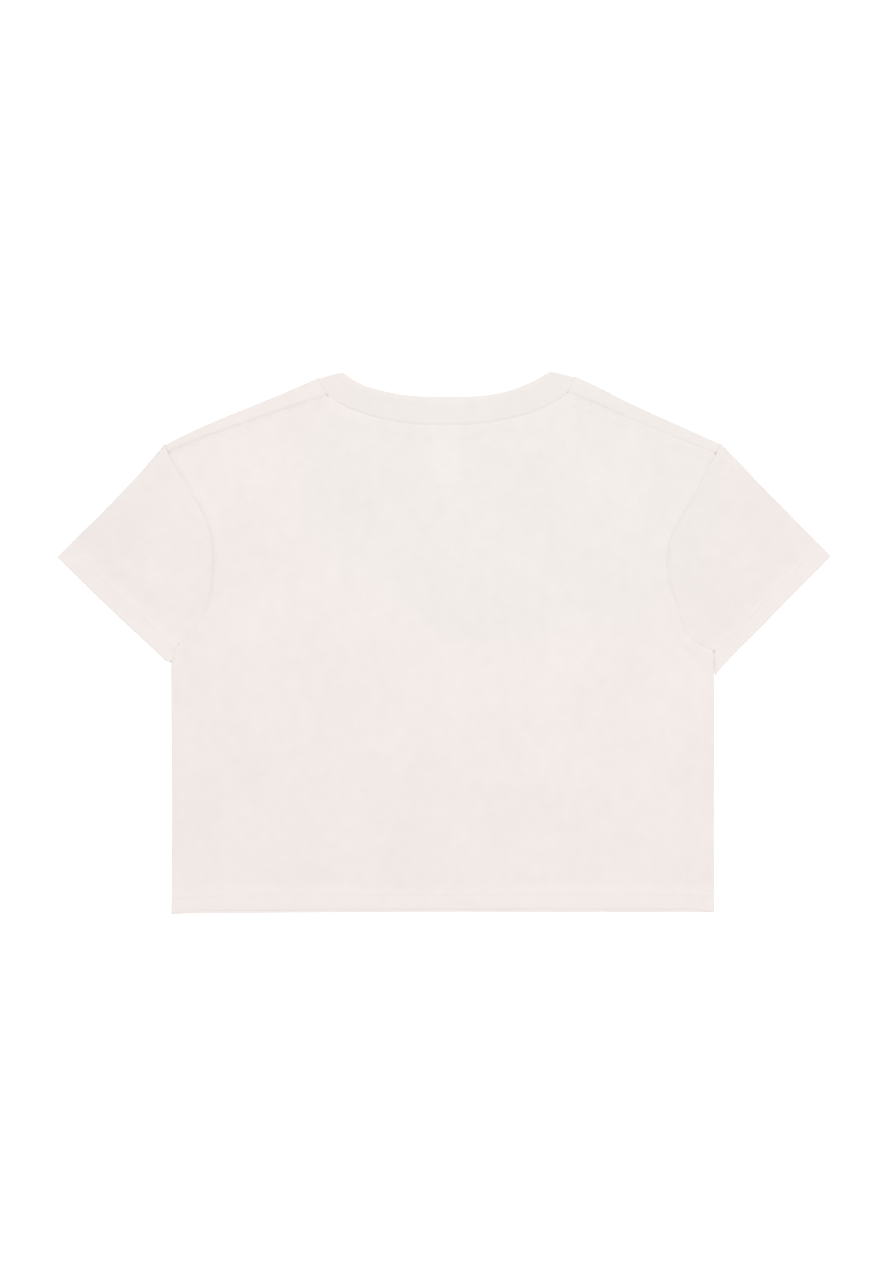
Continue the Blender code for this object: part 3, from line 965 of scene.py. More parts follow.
def linked(name: str, data: bpy.types.ID) -> bpy.types.Object:
    """A new object in the scene.

    Args:
        name: The object's name.
        data: What it holds, such as a mesh or a lamp.

    Returns:
        The object.
    """
    made = bpy.data.objects.new(name, data)
    bpy.context.scene.collection.objects.link(made)
    return made


def placed(mesh: bpy.types.Mesh, material: bpy.types.Material) -> bpy.types.Object:
    """An object of that mesh with its finish, riding on the body.

    Args:
        mesh: The mesh.
        material: Its finish.

    Returns:
        The object.
    """
    mesh.materials.append(material)
    made = linked(mesh.name, mesh)
    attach(made, BODY)
    LOG.info("%s: %d points, %d faces", mesh.name, len(mesh.vertices), len(mesh.polygons))
    return made


def wall(skin: Skin, faces: Array, name: str, thickness: float = JERSEY_WALL, pale: float = 0.0) -> Shell:
    """The shell of a skin: its fine relief outwards, and its wall inwards. Where the
    relief dips, as into a seam, the whole wall dips.

    Args:
        skin: The outer face.
        faces: Its faces, as point numbers.
        name: Name of the piece.
        thickness: Of the single cloth. Doubled cloth below grows up from the table.
        pale: Painted shade: tone added to all of it, where cloth lying double is 1; below 0 it darkens the
            cloth.

    Returns:
        The shell.
    """
    base = skin.base()
    normal = point_normals(base, faces)
    doubled = skin.doubled.ravel()
    below = (skin.layer < 0).ravel()
    depth = thickness + np.where(below & (thickness < RIB_WALL), HEM_DOUBLING * doubled, 0.0)
    depth = np.where(below, depth, depth - EDGE_THINNING * np.maximum(doubled - 1, 0))
    height = skin.height()
    outer = base + normal * height[:, None]
    inner = base + normal * (np.minimum(height, 0.0) - depth)[:, None]
    return Shell(name, outer, inner, faces, skin.weave.reshape(-1, 3), doubled + pale)


# --- Stations: where a grid has its rows and columns ---
EDGE_INSETS = np.array((0, 0.25, 0.5, 0.8, 1.1, 1.45, 2.0, 2.7, 3.5, 4.5, 5.6, 6.8, 8.2, 10, 12)) * MM
HEM_STATIONS = (
    np.array(
        (0, 0.35, 0.8, 1.4, 2.2, 3.2, 4.2, 4.8, 5.4, 6.0, 6.8, 8.4, 10.2, 11.7, 12.3, 12.9, 13.5, 14.1, 15.6)
        + (17.4, 18.3, 18.9, 19.5, 19.9, 20.3, 20.7, 21.1, 21.7, 22.8, 24.4)
    )
    * MM
)
TOP_STATIONS = np.array((0, 0.3, 0.6, 0.95, 1.35, 1.9, 2.6, 3.6, 4.8, 6.2, 7.7, 9.0, 10.2, 11.6, 13.4)) * MM
SEAM_STATIONS = np.array((0, 0.3, 0.6, 0.95, 1.35, 1.9, 2.7, 3.8, 5.2)) * MM
LEAST_MIDDLE = 0.45  # share of a short row that a close group may take


def spaced(low: Array, count: int, high: Array, total: Array | float) -> Array:
    """Stations from 0 to a total: close ones at both ends and even ones between.

    Where the total is short, the close groups shrink to their share of it.

    Args:
        low: Close stations, measured from the start.
        count: How many even ones lie between.
        high: Close stations, measured from the end.
        total: The whole length, or one for each column.

    Returns:
        The stations, in rows, with a column for each total.
    """
    total = np.asarray(total, float)

    def shrunk(close: Array) -> Array:
        """Close stations, shrunk where the total is short."""
        return np.minimum(1, LEAST_MIDDLE * total / close[-1]) * close.reshape(-1, *[1] * total.ndim)

    first, last = shrunk(low), total - shrunk(high)[::-1]
    even = np.linspace(first[-1], last[0], count + 2)[1:-1]
    return np.concatenate([first, even, last])


def run_shares(curve: Curve, runs: Array, end: float) -> Array:
    """Shares of a curve at these lengths along it, as shares of the run up to an end share.

    Args:
        curve: The curve.
        runs: Lengths, where the whole run up to the end share is 1.
        end: The end share.

    Returns:
        The shares, one for each length.
    """
    shares = np.linspace(0, end, curve.SAMPLES)
    run = run_along(curve.at(shares))
    return np.interp(runs * run[-1], run, shares)


def sewn_edge(groove: float, groove_width: float = 0.9, **sizes: float) -> SewnEdge:
    """An edge from sizes in millimetres."""
    return SewnEdge(groove * MM, groove_width * MM, **{key: size * MM for key, size in sizes.items()})


def at_armhole(edge: SewnEdge, side: Side) -> SewnEdge:
    """An armhole seam's edge: each side is pulled in by its own amounts.

    Args:
        edge: The edge as it is on a plain seam.
        side: The left or the right one.

    Returns:
        The edge on that side.
    """
    depth, least, pinch, width = side.seam
    groove, groove_width = edge.groove * depth, edge.groove_width * width
    return replace(edge, groove=groove, groove_width=groove_width, least=least, pinch=pinch)


def at_shoulder(edge: SewnEdge, side: Side) -> SewnEdge:
    """A shoulder seam's edge: the right seam is pulled in mostly near the neck."""
    return edge if side is LEFT else replace(edge, deepest=112 * MM, least=0.42, reach=34 * MM)


# --- Body panels ---
@dataclass
class Label:
    """The bare woven label inside the back neck, and its print through the cloth."""

    width: float = 24.0 * MM
    length: float = 54.0 * MM
    x: float = 2.5 * MM
    top: float = 195.3 * MM
    z: float = 1.48 * MM
    wall: float = 0.42 * MM
    columns: int = 25
    rows: int = 49
    side_drop: float = 0.12 * MM  # by which its long edges curl down
    wave: float = 0.05 * MM
    print_height: float = 0.26 * MM
    print_edge: float = 1.1 * MM
    curl: float = 2.6 * MM  # how far the free end's corners turn away from the back panel
    curl_length: float = 14 * MM
    ridge_inset: float = 1.6 * MM  # of the ridge within each long side
    furrow_offset: float = 2.2 * MM  # of the furrow beyond the right one
    ridge_width: float = 1.5 * MM  # and of the furrow
    furrow_fade: float = 9 * MM  # over which the furrow fades out at the free end
    overlap: float = 10 * MM  # by which the print runs on past the label's top
    show: float = 0.95 / (0.26 * MM)  # painted light: how much lighter the thin jersey over it is made, for light the label sends back through it

    def imprint(self, points: Array) -> Array:
        """How far the label pushes the back panel up: a plateau, higher along its two sides and
        narrower at its free end, with a furrow beside it on the right.

        Args:
            points: Points in the plane.

        Returns:
            The heights.
        """
        off, low = points[..., 0] - self.x, points[..., 1] - (self.top - self.length)
        across = self.width / 2 - self.curl * smooth(1.3 - low / self.curl_length) - np.abs(off)
        along = np.minimum(self.length - low + self.overlap, low)
        plateau = smooth(np.minimum(across, along) / self.print_edge + 0.5)
        ridge = bell((across - self.ridge_inset) / self.ridge_width) * smooth(along / self.print_edge)
        beside = smooth(off / self.width) * smooth(along / self.furrow_fade)
        furrow = bell((across + self.furrow_offset) / self.ridge_width) * beside
        return self.print_height * (0.75 * plateau + 0.30 * ridge - 0.55 * furrow)

    def build(self, material: bpy.types.Material) -> bpy.types.Object:
        """The label as a thin wall with a slight wave, and its long edges curled down.

        Height is z - side_drop * u^4 - wave * (1 - cos(9 v + 0.6 u)), with u across it from
        -1 to 1 and v along it from 0 to 1.

        Args:
            material: The woven cloth's finish.

        Returns:
            The finished object.
        """
        across, along = np.meshgrid(np.linspace(-1, 1, self.columns), np.linspace(0, 1, self.rows))
        plan = np.stack([self.x + across * self.width / 2, self.top - self.length * (1 - along)], axis=-1)
        z = self.z - self.side_drop * across**4 - self.wave * (1 - np.cos(9 * along + 0.6 * across))
        outer = np.concatenate([plan, z[..., None]], axis=-1).reshape(-1, 3)
        inner = outer - (0, 0, self.wall)
        faces = grid_faces(np.arange(outer.shape[0]).reshape(across.shape))
        weave = with_zero(plan).reshape(-1, 3)
        label = Shell("neck_label_cloth", outer, inner, faces, weave, np.zeros(len(outer))).build(material)
        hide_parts("neck_label")
        return label


@dataclass
class BodyPanel:
    """The front or the back of the body, from the hem to the shoulder and neck seams."""

    name: str
    cut: Cut
    rise: Callable[[Array], Array]
    side_rows: int = 64
    arm_rows: int = 72
    shoulder_columns: int = 44
    neck_columns: int = 84
    strip_rows: int = 6  # even rows of the strips over the shoulders
    far: float = 0.3  # a height above the hem at which nothing of it is felt
    hem: Hem = field(default_factory=Hem)
    arm_edge: SewnEdge = sewn_edge(0.86, 1.9, raised=0.50, allowance=8.5, softness=5, deepest=88)
    neck_edge: SewnEdge = sewn_edge(0.35, 1.2, raised=0.45, allowance=11, softness=5, pucker=0.04)
    shoulder_edge: SewnEdge = sewn_edge(1.5, 1.4, raised=0.40, allowance=8.5, softness=4)
    side_edge: SewnEdge = sewn_edge(0.0, raised=0.16, allowance=8.0)
    strip_arm_edge: SewnEdge = sewn_edge(0.30, raised=0.40, allowance=7.5)
    strip_seam_edge: SewnEdge = sewn_edge(1.3, 1.35, pucker=0.34, pucker_pitch=6)
    strip_neck_edge: SewnEdge = sewn_edge(0.12, raised=0.15, pucker=0.03)

    def side_block(self, side: Side) -> Array:
        """The columns beside one edge: up the side seam, round its turn, and up the armhole.

        Beside the seam a column's inset is radius * (1 - cos(angle)) in the turn. Beside
        the armhole the columns are moved off it, from straight inwards at the underarm
        to along the shoulder at the top.

        Args:
            side: The left or the right one.

        Returns:
            The points, in rows upwards and columns inwards.
        """
        total = math.dist(side.hem, side.underarm)
        near = np.array((SEAM_GAP / 2, 0.8 * MM, 1.6 * MM, 3.2 * MM))
        rows = spaced(HEM_STATIONS, self.side_rows, near, total)
        straight = mix(side.hem, side.underarm, rows / total)
        curve = self.cut.armhole(side)
        arm = curve.moved_off(self.arm_shares(side), -side.inward * SEAM_GAP / 2)
        inward = np.array([side.inward, 0.0])
        turn = TURN_RADIUS * (1 - np.cos(TURN_ANGLES))
        insets = np.concatenate([turn, EDGE_INSETS[len(turn) :]])
        turned = straight[:, None] + inward * insets[:, None]
        neck = self.cut.neck.at(self.cut.neck_end(side))
        ways = mix(inward, unit(neck - arm[-1]), np.linspace(0, 1, len(arm)))
        return np.concatenate([turned, arm[:, None] + ways[:, None] * EDGE_INSETS[:, None]])

    def arm_shares(self, side: Side) -> Array:
        """Shares of the armhole where the panel has its rows, closer at both ends.

        Args:
            side: The left or the right one.

        Returns:
            The shares, from the underarm upwards.
        """
        curve, end = self.cut.armhole(side), self.cut.arm_end(side)
        length = run_along(curve.at(np.linspace(0, end, 400)))[-1]
        low = np.array((0.6, 1.3, 2.2, 3.3)) * MM
        return run_shares(curve, spaced(low, self.arm_rows, TOP_STATIONS, length) / length, end)

    def shoulder_row(self, arm: Array, neck: Array) -> Array:
        """Points from the armhole to the neck, closer together at both ends.

        Args:
            arm: Where the row leaves the armhole, or several such points.
            neck: Where it reaches the neck.

        Returns:
            The points of the row or rows.
        """
        total = np.linalg.norm(neck - arm, axis=-1)
        stations = spaced(EDGE_INSETS, self.shoulder_columns, SEAM_STATIONS, total)
        share = np.moveaxis(stations / total, 0, -1)[..., None]
        return arm[..., None, :] + share * (neck - arm)[..., None, :]

    def top_edge(self, left: Array, right: Array) -> Array:
        """The upper edge between the two armholes: shoulder, neck and shoulder.

        Args:
            left: Where the left armhole ends.
            right: Where the right one ends.

        Returns:
            The points, from the left to the right.
        """
        shares = np.linspace(self.cut.neck_end(LEFT), self.cut.neck_end(RIGHT), self.neck_columns + 1)
        neck = self.cut.neck.moved_off(shares, -SEAM_GAP / 2)
        rows = self.shoulder_row(left, neck[0]), self.shoulder_row(right, neck[-1])
        edge = len(EDGE_INSETS) - 1
        return np.concatenate([rows[0][edge:], neck[1:-1], rows[1][edge:][::-1]])

    def stations(self) -> Array:
        """Height above the hem of each row, along the left edge."""
        return run_along(self.side_block(LEFT)[:, -1])

    def grid(self) -> Array:
        """The panel's flat part: a sheet filled in between its hem, sides and upper edge.

        Each row is (1 - v) * bottom + v * top. Columns under the neck run straight up,
        and those under the shoulders also follow the side edge, the more the nearer.

        Returns:
            The points, in rows upwards and columns from the left to the right.
        """
        left, right = (self.side_block(side) for side in SIDES)
        top = self.top_edge(left[-1, 0], right[-1, 0])
        left[-1, -1], right[-1, -1] = top[0], top[-1]
        shoulder = self.shoulder_columns + len(SEAM_STATIONS)
        x = top[:, 0]
        inner_left, inner_right = x[shoulder], x[-shoulder - 1]
        u = np.clip((x - inner_left) / (x[0] - inner_left), 0, 1)
        w = np.clip((x - inner_right) / (x[-1] - inner_right), 0, 1)
        bottom_x = x + u * (left[0, -1, 0] - x[0]) + w * (right[0, -1, 0] - x[-1])
        ends = left[0, -1], right[0, -1]
        bottom_y = np.interp(bottom_x, [end[0] for end in ends], [end[1] for end in ends])
        bottom = np.stack([bottom_x, bottom_y], axis=-1)
        v = (self.stations() / self.stations()[-1])[:, None, None]
        rows = (1 - v) * bottom + v * top
        from_left = (left[:, -1] - rows[:, 0])[:, None] * u[:, None]
        from_right = (right[:, -1] - rows[:, -1])[:, None] * w[:, None]
        middle = rows + from_left + from_right
        points = np.concatenate([left[:, :-1], middle, right[:, -2::-1]], axis=1)
        fade = 1 - smooth(self.stations() / RISE_FADE)
        points[..., 1] += self.rise(points[..., 0]) * fade[:, None]
        return points

    def seams(self) -> list[tuple[SewnEdge, Track]]:
        """The edges of the panel that are sewn, each with the line of its seam.

        Returns:
            Pairs of an edge and its line.
        """
        found = []
        for side in SIDES:
            found.append((at_armhole(self.arm_edge, side), self.cut.armhole(side).track()))
            found.append((self.side_edge, Straight(side.hem, side.underarm).track(2)))
        found.append((self.neck_edge, self.cut.neck.track()))
        if self.cut is BACK:
            shoulders = ((at_shoulder(self.shoulder_edge, side), shoulder_seam(side)) for side in SIDES)
            found += [(edge, seam.track(2)) for edge, seam in shoulders]
        return found

    def fine(self, points: Array, above: Array | float, label: Label) -> Array:
        """Fine relief of the panel: the hem, the cloth beside each seam, and the label's print.

        Args:
            points: Points in the plane.
            above: Their heights above the hem, in the plane.
            label: The label that prints through the back.

        Returns:
            The heights.
        """
        total = self.hem.lift(above, points[..., 0], self.cut.layer)
        for edge, seam in self.seams():
            total = total + edge.lift(*seam.away(points), self.cut.layer)
        return total + label.imprint(points) if self.cut is BACK else total

    def build(self, material: bpy.types.Material, label: Label) -> bpy.types.Object:
        """The panel as a wall of cloth.

        Args:
            material: The cloth's finish.
            label: The label that prints through the back.

        Returns:
            The finished object.
        """
        points = self.grid()
        above = np.broadcast_to(self.stations()[:, None], points.shape[:2])
        # Painted light: the back is made lighter over the label, for light the label sends back through the
        # thin jersey.
        through = label.show * label.imprint(points) if self.cut is BACK else 0.0
        skin = Skin(
            points,
            np.full(points.shape[:2], float(self.cut.layer.value)),
            self.fine(points, above, label),
            self.hem.doubled(above) + through,
            with_zero(points),
        )
        index = np.arange(above.size).reshape(above.shape)
        faces = grid_faces(index)
        if self.cut is FRONT:
            skin, faces = self.with_shoulders(skin, index)
            faces = faces[:, ::-1]
        panel = wall(skin, faces, f"{self.name}_cloth").build(material)
        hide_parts(self.name)
        return panel

    def over_shoulder(self, side: Side) -> tuple[Array, Array]:
        """Rows of the front panel that turn over the shoulder and lie on the back.

        Args:
            side: The left or the right one.

        Returns:
            Their points, from the armhole to the neck, and the layer of each row.
        """
        angles = np.concatenate([-TURN_ANGLES[-2::-1], [0.0], TURN_ANGLES])
        gaps = TURN_RADIUS * (1 - np.cos(angles))
        close = np.array((0.35, 0.8, 1.4, 2.2)) * MM
        shares = np.linspace(0, 1, self.strip_rows + 1)[1:]

        def row_gaps(drop: float) -> Array:
            """How far behind the fold the rows lie, where the seam lies at this drop."""
            end = drop - SEAM_GAP / 2
            flat = TURN_RADIUS + shares * (end - close[-1] - TURN_RADIUS)
            return np.concatenate([gaps, flat, end - close[-2::-1], [end]])

        arm_gaps, neck_gaps = (row_gaps(drop) for drop in side.shoulder_drop)
        layers = np.where(np.arange(len(arm_gaps)) < len(TURN_ANGLES) - 1, -1.0, 1.0)
        arm_curve = BACK.armhole(side)
        arm_shares = arm_curve.share_off(side.shoulder_line, arm_gaps, 1)
        neck_shares = BACK_SEAM.share_off(side.shoulder_line, neck_gaps, side.neck_start)
        arm = arm_curve.moved_off(arm_shares, -side.inward * SEAM_GAP / 2)
        neck = BACK_SEAM.moved_off(neck_shares, -SEAM_GAP / 2)
        return self.shoulder_row(arm, neck), layers[:, None]

    def with_shoulders(self, skin: Skin, index: Array) -> tuple[Skin, Array]:
        """The panel's skin and faces with its two strips over the shoulders added.

        Args:
            skin: The flat part.
            index: Its point numbers.

        Returns:
            The whole skin, as one long row of points, and its faces.
        """
        keys = ("plan", "layer", "fine", "doubled", "weave")
        parts = {key: [getattr(skin, key).reshape(index.size, -1)] for key in keys}
        faces = [grid_faces(index)]
        first = index.size
        for side in SIDES:
            strip, layers = self.over_shoulder(side)
            seam_edge = at_shoulder(self.strip_seam_edge, side)
            fine = self.strip_arm_edge.lift(*BACK.armhole(side).track().away(strip))
            fine += seam_edge.lift(*shoulder_seam(side).track(2).away(strip))
            fine += self.strip_neck_edge.lift(*BACK_SEAM.track().away(strip))
            layer = np.broadcast_to(layers, strip.shape[:2])
            added = dict(zip(keys, (strip, layer, fine, 0 * fine, with_zero(strip))))
            for key, values in added.items():
                parts[key].append(np.reshape(values, (fine.size, -1)))
            count = strip.shape[1]
            seam = index[-1, :count] if side is LEFT else index[-1, ::-1][:count]
            rows = np.arange(first, first + fine.size).reshape(-1, count)
            strip_faces = grid_faces(np.vstack([seam, rows]))
            faces.append(strip_faces if side is LEFT else strip_faces[:, ::-1])
            first += fine.size
        joined = {key: np.concatenate(values) for key, values in parts.items()}
        flat = {key: joined[key][:, 0] for key in ("layer", "fine", "doubled")}
        whole = Skin(joined["plan"], flat["layer"], flat["fine"], flat["doubled"], joined["weave"])
        return whole, np.concatenate(faces)


# --- Sleeves ---
@dataclass
class Sleeve:
    """A sleeve: a flattened tube, ruled from the armhole to the cuff."""

    side: Side
    columns: int = 84
    rows: int = 44
    PINCHED = 0.06  # share of their spacing that the fold's wales keep at a fan's point
    FANNED = 0.002  # and the wales of the fan itself
    hem: Hem = field(default_factory=Hem)
    caught: float = 4.5 * MM  # beside the armhole seam, which presses the cuff's hem flat
    edge: SewnEdge = sewn_edge(0.88, 2.0, pucker=0.07, pucker_pitch=10.5, deepest=88)

    def ends(self, cut: Cut, angles: Array) -> tuple[Array, Array, Array]:
        """One layer of the sleeve.

        Args:
            cut: The body panel whose armhole it is sewn to.
            angles: Where its two turns have their columns.

        Returns:
            The points where its columns leave the armhole and where they reach the cuff,
            and the layer of each.
        """
        side, gaps = self.side, TURN_RADIUS * (1 - np.cos(angles))
        armhole, cuff = cut.armhole(side), Straight(side.cuff_foot, side.cuff_tip)
        between = np.linspace(0, 1, self.columns + 2)[1:-1]
        found = []
        from_foot = gaps / math.dist(side.cuff_foot, side.cuff_tip)
        under_arm = armhole.share_off(side.under_line, gaps * (self.PINCHED if side.fan else 1), 0)
        held = np.maximum(between - side.fan, 0) / (1 - side.fan)
        crowded = (1 - self.FANNED) * held**side.gather + self.FANNED * between
        for curve, under, spread in ((armhole, under_arm, crowded), (cuff, from_foot, between)):
            top = curve.share_off(side.top_line, gaps, 1)
            middle = under[-1] + (top[-1] - under[-1]) * spread
            found.append(np.concatenate([under, middle, top[::-1]]))
        start = armhole.moved_off(found[0], side.inward * SEAM_GAP / 2)
        return start, cuff.at(found[1]), np.full(len(start), float(cut.layer.value))

    def plain_hem(self, points: Array, above: float, layer: Layer) -> Array:
        """Relief of the cuff at one height, for the needle rows: it has no puckers there."""
        return self.hem.lift(np.full(len(points), above), np.zeros(len(points)), layer)

    def build(self, material: bpy.types.Material) -> bpy.types.Object:
        """The sleeve as a wall of cloth, closed round.

        Args:
            material: The cloth's finish.

        Returns:
            The finished object.
        """
        side = self.side
        around = np.concatenate([[0.0], TURN_ANGLES])
        over, under = self.ends(BACK, around), self.ends(FRONT, around[1:])
        start, end, layer = (np.concatenate([a, b[::-1]]) for a, b in zip(over, under))
        total = off_line(start, side.cuff_foot, side.cuff_tip)
        share = spaced(SEAM_STATIONS, self.rows, HEM_STATIONS, total) / total
        points = start + share[..., None] * (end - start)
        layers = np.broadcast_to(layer, points.shape[:2])
        above = off_line(points, side.cuff_foot, side.cuff_tip)
        way = unit(np.subtract(side.cuff_tip, side.shoulder))
        weave = np.stack([points @ (-way[1], way[0]), points @ way, 0 * above], axis=-1)
        fine = np.zeros(above.shape)
        edge = at_armhole(self.edge, side)
        for cut in (BACK, FRONT):
            away, along = cut.armhole(side).track().away(points)
            hem = self.hem.lift(above, points @ (-way[1], way[0]), cut.layer) * smooth(away / self.caught)
            beside = edge.lift(away, along, cut.layer)
            fine = fine + np.where(layers == cut.layer.value, beside + hem, 0)
        skin = Skin(points, layers, fine, self.hem.doubled(above), weave)
        index = np.arange(above.size).reshape(above.shape)
        faces = grid_faces(np.hstack([index, index[:, :1]]))
        if side is RIGHT:
            faces = faces[:, ::-1]
        # Painted shade: each sleeve's cloth is darkened by its own amount.
        sleeve = wall(skin, faces, f"sleeve_{side.name}_cloth", pale=side.pale).build(material)
        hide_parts(f"sleeve_{side.name}")
        return sleeve


# --- Neck band ---
@dataclass
class NeckBand:
    """The rib band: a ring whose back half lies above and whose front half lies below."""

    ribs: int = 424
    steps: int = 5
    rib_height: float = 0.15 * MM
    crown: float = 0.22 * MM
    groove: float = 0.42 * MM
    across: tuple[float, ...] = (0, 0.02, 0.045, 0.08, 0.13, 0.21, 0.33, 0.47, 0.62, 0.76, 0.88, 0.96, 1)
    groove_width: float = 0.8 * MM
    pucker: float = 0.05 * MM
    eased: float = 14 * MM  # length at each end of the back seam where its groove is shallow
    easing: float = 16 * MM  # and over which it then deepens
    shallow: float = 0.3
    pucker_length: float = 2.3 * MM
    pucker_reach: float = 5 * MM
    depth: float = 24 * MM
    doubling: float = 1.1  # painted highlight: how much lighter the cloth at the folded edge is made, counted as cloth lying double
    above_points: int = 300
    below_points: int = 400
    low_turn: float = 2.2  # how far in from the fold its lower half starts, in turn radii

    def line(self, cut: Cut, across: float) -> Curve:
        """The line along the band at a share of the way from its seam to its edge."""
        seam, edge = (BACK_SEAM, BACK_EDGE) if cut is BACK else (FRONT_SEAM, FRONT_EDGE)
        return BandLine(seam, edge, across)

    def ring(self, across: float) -> tuple[Array, Array]:
        """The band along one line: its back, a turn, its front and a turn.

        The lower half of each turn lies straight under the upper half.

        Args:
            across: Share of the way from the seam to the edge.

        Returns:
            Points in the plane, and how far each has turned, from 1 above to -1 below.
        """
        back, front = self.line(BACK, across), self.line(FRONT, across)
        angles = np.concatenate([[0.0], TURN_ANGLES])
        gaps = RIB_RADIUS * (1 - np.cos(angles))
        left_shares = back.share_off((LEFT.neck_seam, LEFT.neck_point), gaps, 0)
        right_shares = back.share_off((RIGHT.neck_seam, RIGHT.neck_point), gaps, 1)
        left, right = back.at(left_shares), back.at(right_shares)
        above = back.at(np.linspace(left_shares[-1], right_shares[-1], self.above_points + 2)[1:-1])
        low = RIB_RADIUS * self.low_turn
        low_left = front.share_off((LEFT.neck_seam, LEFT.neck_point), low, 0)
        low_right = front.share_off((RIGHT.neck_seam, RIGHT.neck_point), low, 1)
        below = front.at(np.linspace(low_left, low_right, self.below_points))
        plan = np.concatenate([left, above, right[::-1], right[1:], below[::-1], left[:0:-1]])
        turn = np.sin(angles)
        one = np.ones
        lean = [turn, one(len(above)), turn[::-1], -turn[1:], -one(len(below)), -turn[:0:-1]]
        return plan, np.concatenate(lean)

    def grid(self) -> tuple[Array, Array, float]:
        """The rings at every line across the band, each with its points evenly spaced.

        Returns:
            Points in the plane, in rows across the band, their turns, and the length round
            the band's middle.
        """
        count = self.ribs * self.steps
        middle, _ = self.ring(0.5)
        run = run_along(np.vstack([middle, middle[:1]]))
        wanted = np.linspace(0, run[-1], count + 1)[:-1]
        plans, turns = [], []
        for across in self.across:
            plan, turn = self.ring(across)
            table = np.column_stack([plan, turn])
            table = np.vstack([table, table[:1]])
            made = np.stack([np.interp(wanted, run, column) for column in table.T], axis=-1)
            plans.append(made[:, :2])
            turns.append(made[:, 2])
        return np.array(plans), np.array(turns), run[-1]

    def build(self, material: bpy.types.Material) -> bpy.types.Object:
        """The band as a wall of rib knit, folded double.

        Relief is a rib every few points, a low crown midway across the band, a groove at
        the seam and a light pucker beside it.

        Args:
            material: The rib's finish.

        Returns:
            The finished object.
        """
        plan, turn, length = self.grid()
        layer = np.where(turn < 0, -1.0, 1.0)
        index = np.arange(turn.size).reshape(turn.shape)
        station = np.broadcast_to(np.arange(turn.shape[1]), turn.shape)
        across = np.broadcast_to(np.array(self.across)[:, None], turn.shape)
        uneven = 0.8 + 0.2 * np.sin(station / 97.0)
        ribs = 0.5 * uneven * np.cos(2 * math.pi * station / self.steps)
        from_seam, to_fold = smooth((across - 0.03) / 0.10), smooth((1.02 - across) / 0.06)
        away = {cut.layer: cut.neck.track().away(plan) for cut in (BACK, FRONT)}
        distance = np.where(layer > 0, away[Layer.UPPER][0], away[Layer.LOWER][0])
        along = station * (length / turn.shape[1])
        fine = self.rib_height * ribs * from_seam * to_fold
        seam = BACK_SEAM.track().away(plan)[1]
        inside = smooth((np.minimum(seam, seam.max() - seam) - self.eased) / self.easing)
        groove = self.groove * np.where(layer > 0, self.shallow + (1 - self.shallow) * inside, 1.0)
        fine = fine + self.crown * np.sin(math.pi * across) - groove * bell(distance / self.groove_width)
        waves = np.sin(along / self.pucker_length) * np.exp(-distance / self.pucker_reach)
        fine = fine + self.pucker * waves
        weave = np.stack([along, across * self.depth, 0 * along], axis=-1)
        # Painted highlight: the band is made lighter towards its folded edge.
        doubled = self.doubling * smooth((across - 0.80) / 0.12)
        skin = Skin(plan, layer, fine, doubled, weave, RIB_RADIUS)
        faces = grid_faces(np.hstack([index, index[:, :1]]))
        shell = wall(skin, faces, "neck_rib_cloth", RIB_WALL)
        band = shell.build(material)
        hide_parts("neck_rib")
        return band


@dataclass(frozen=True)
class BandLine(Curve):
    """A line between the neck seam and the band's edge."""

    seam: Neckline
    edge: Neckline
    across: float

    def at(self, shares: Array | float) -> Array:
        """Points a share of the way from the seam, moved off it by the gap, to the edge."""
        return mix(self.seam.moved_off(shares, SEAM_GAP / 2), self.edge.at(shares), self.across)


# --- Needlework ---
@dataclass(frozen=True)
class Thread:
    """Size of the sewing thread and how each stitch lies on the cloth."""

    radius: float
    lift: float
    pitch: float = STITCH_PITCH
    shown: float = 0.76  # share of the pitch that lies on top before the thread dives


TOP_THREAD = Thread(0.17 * MM, 0.11 * MM)
UNDER_THREAD = Thread(0.10 * MM, 0.04 * MM)


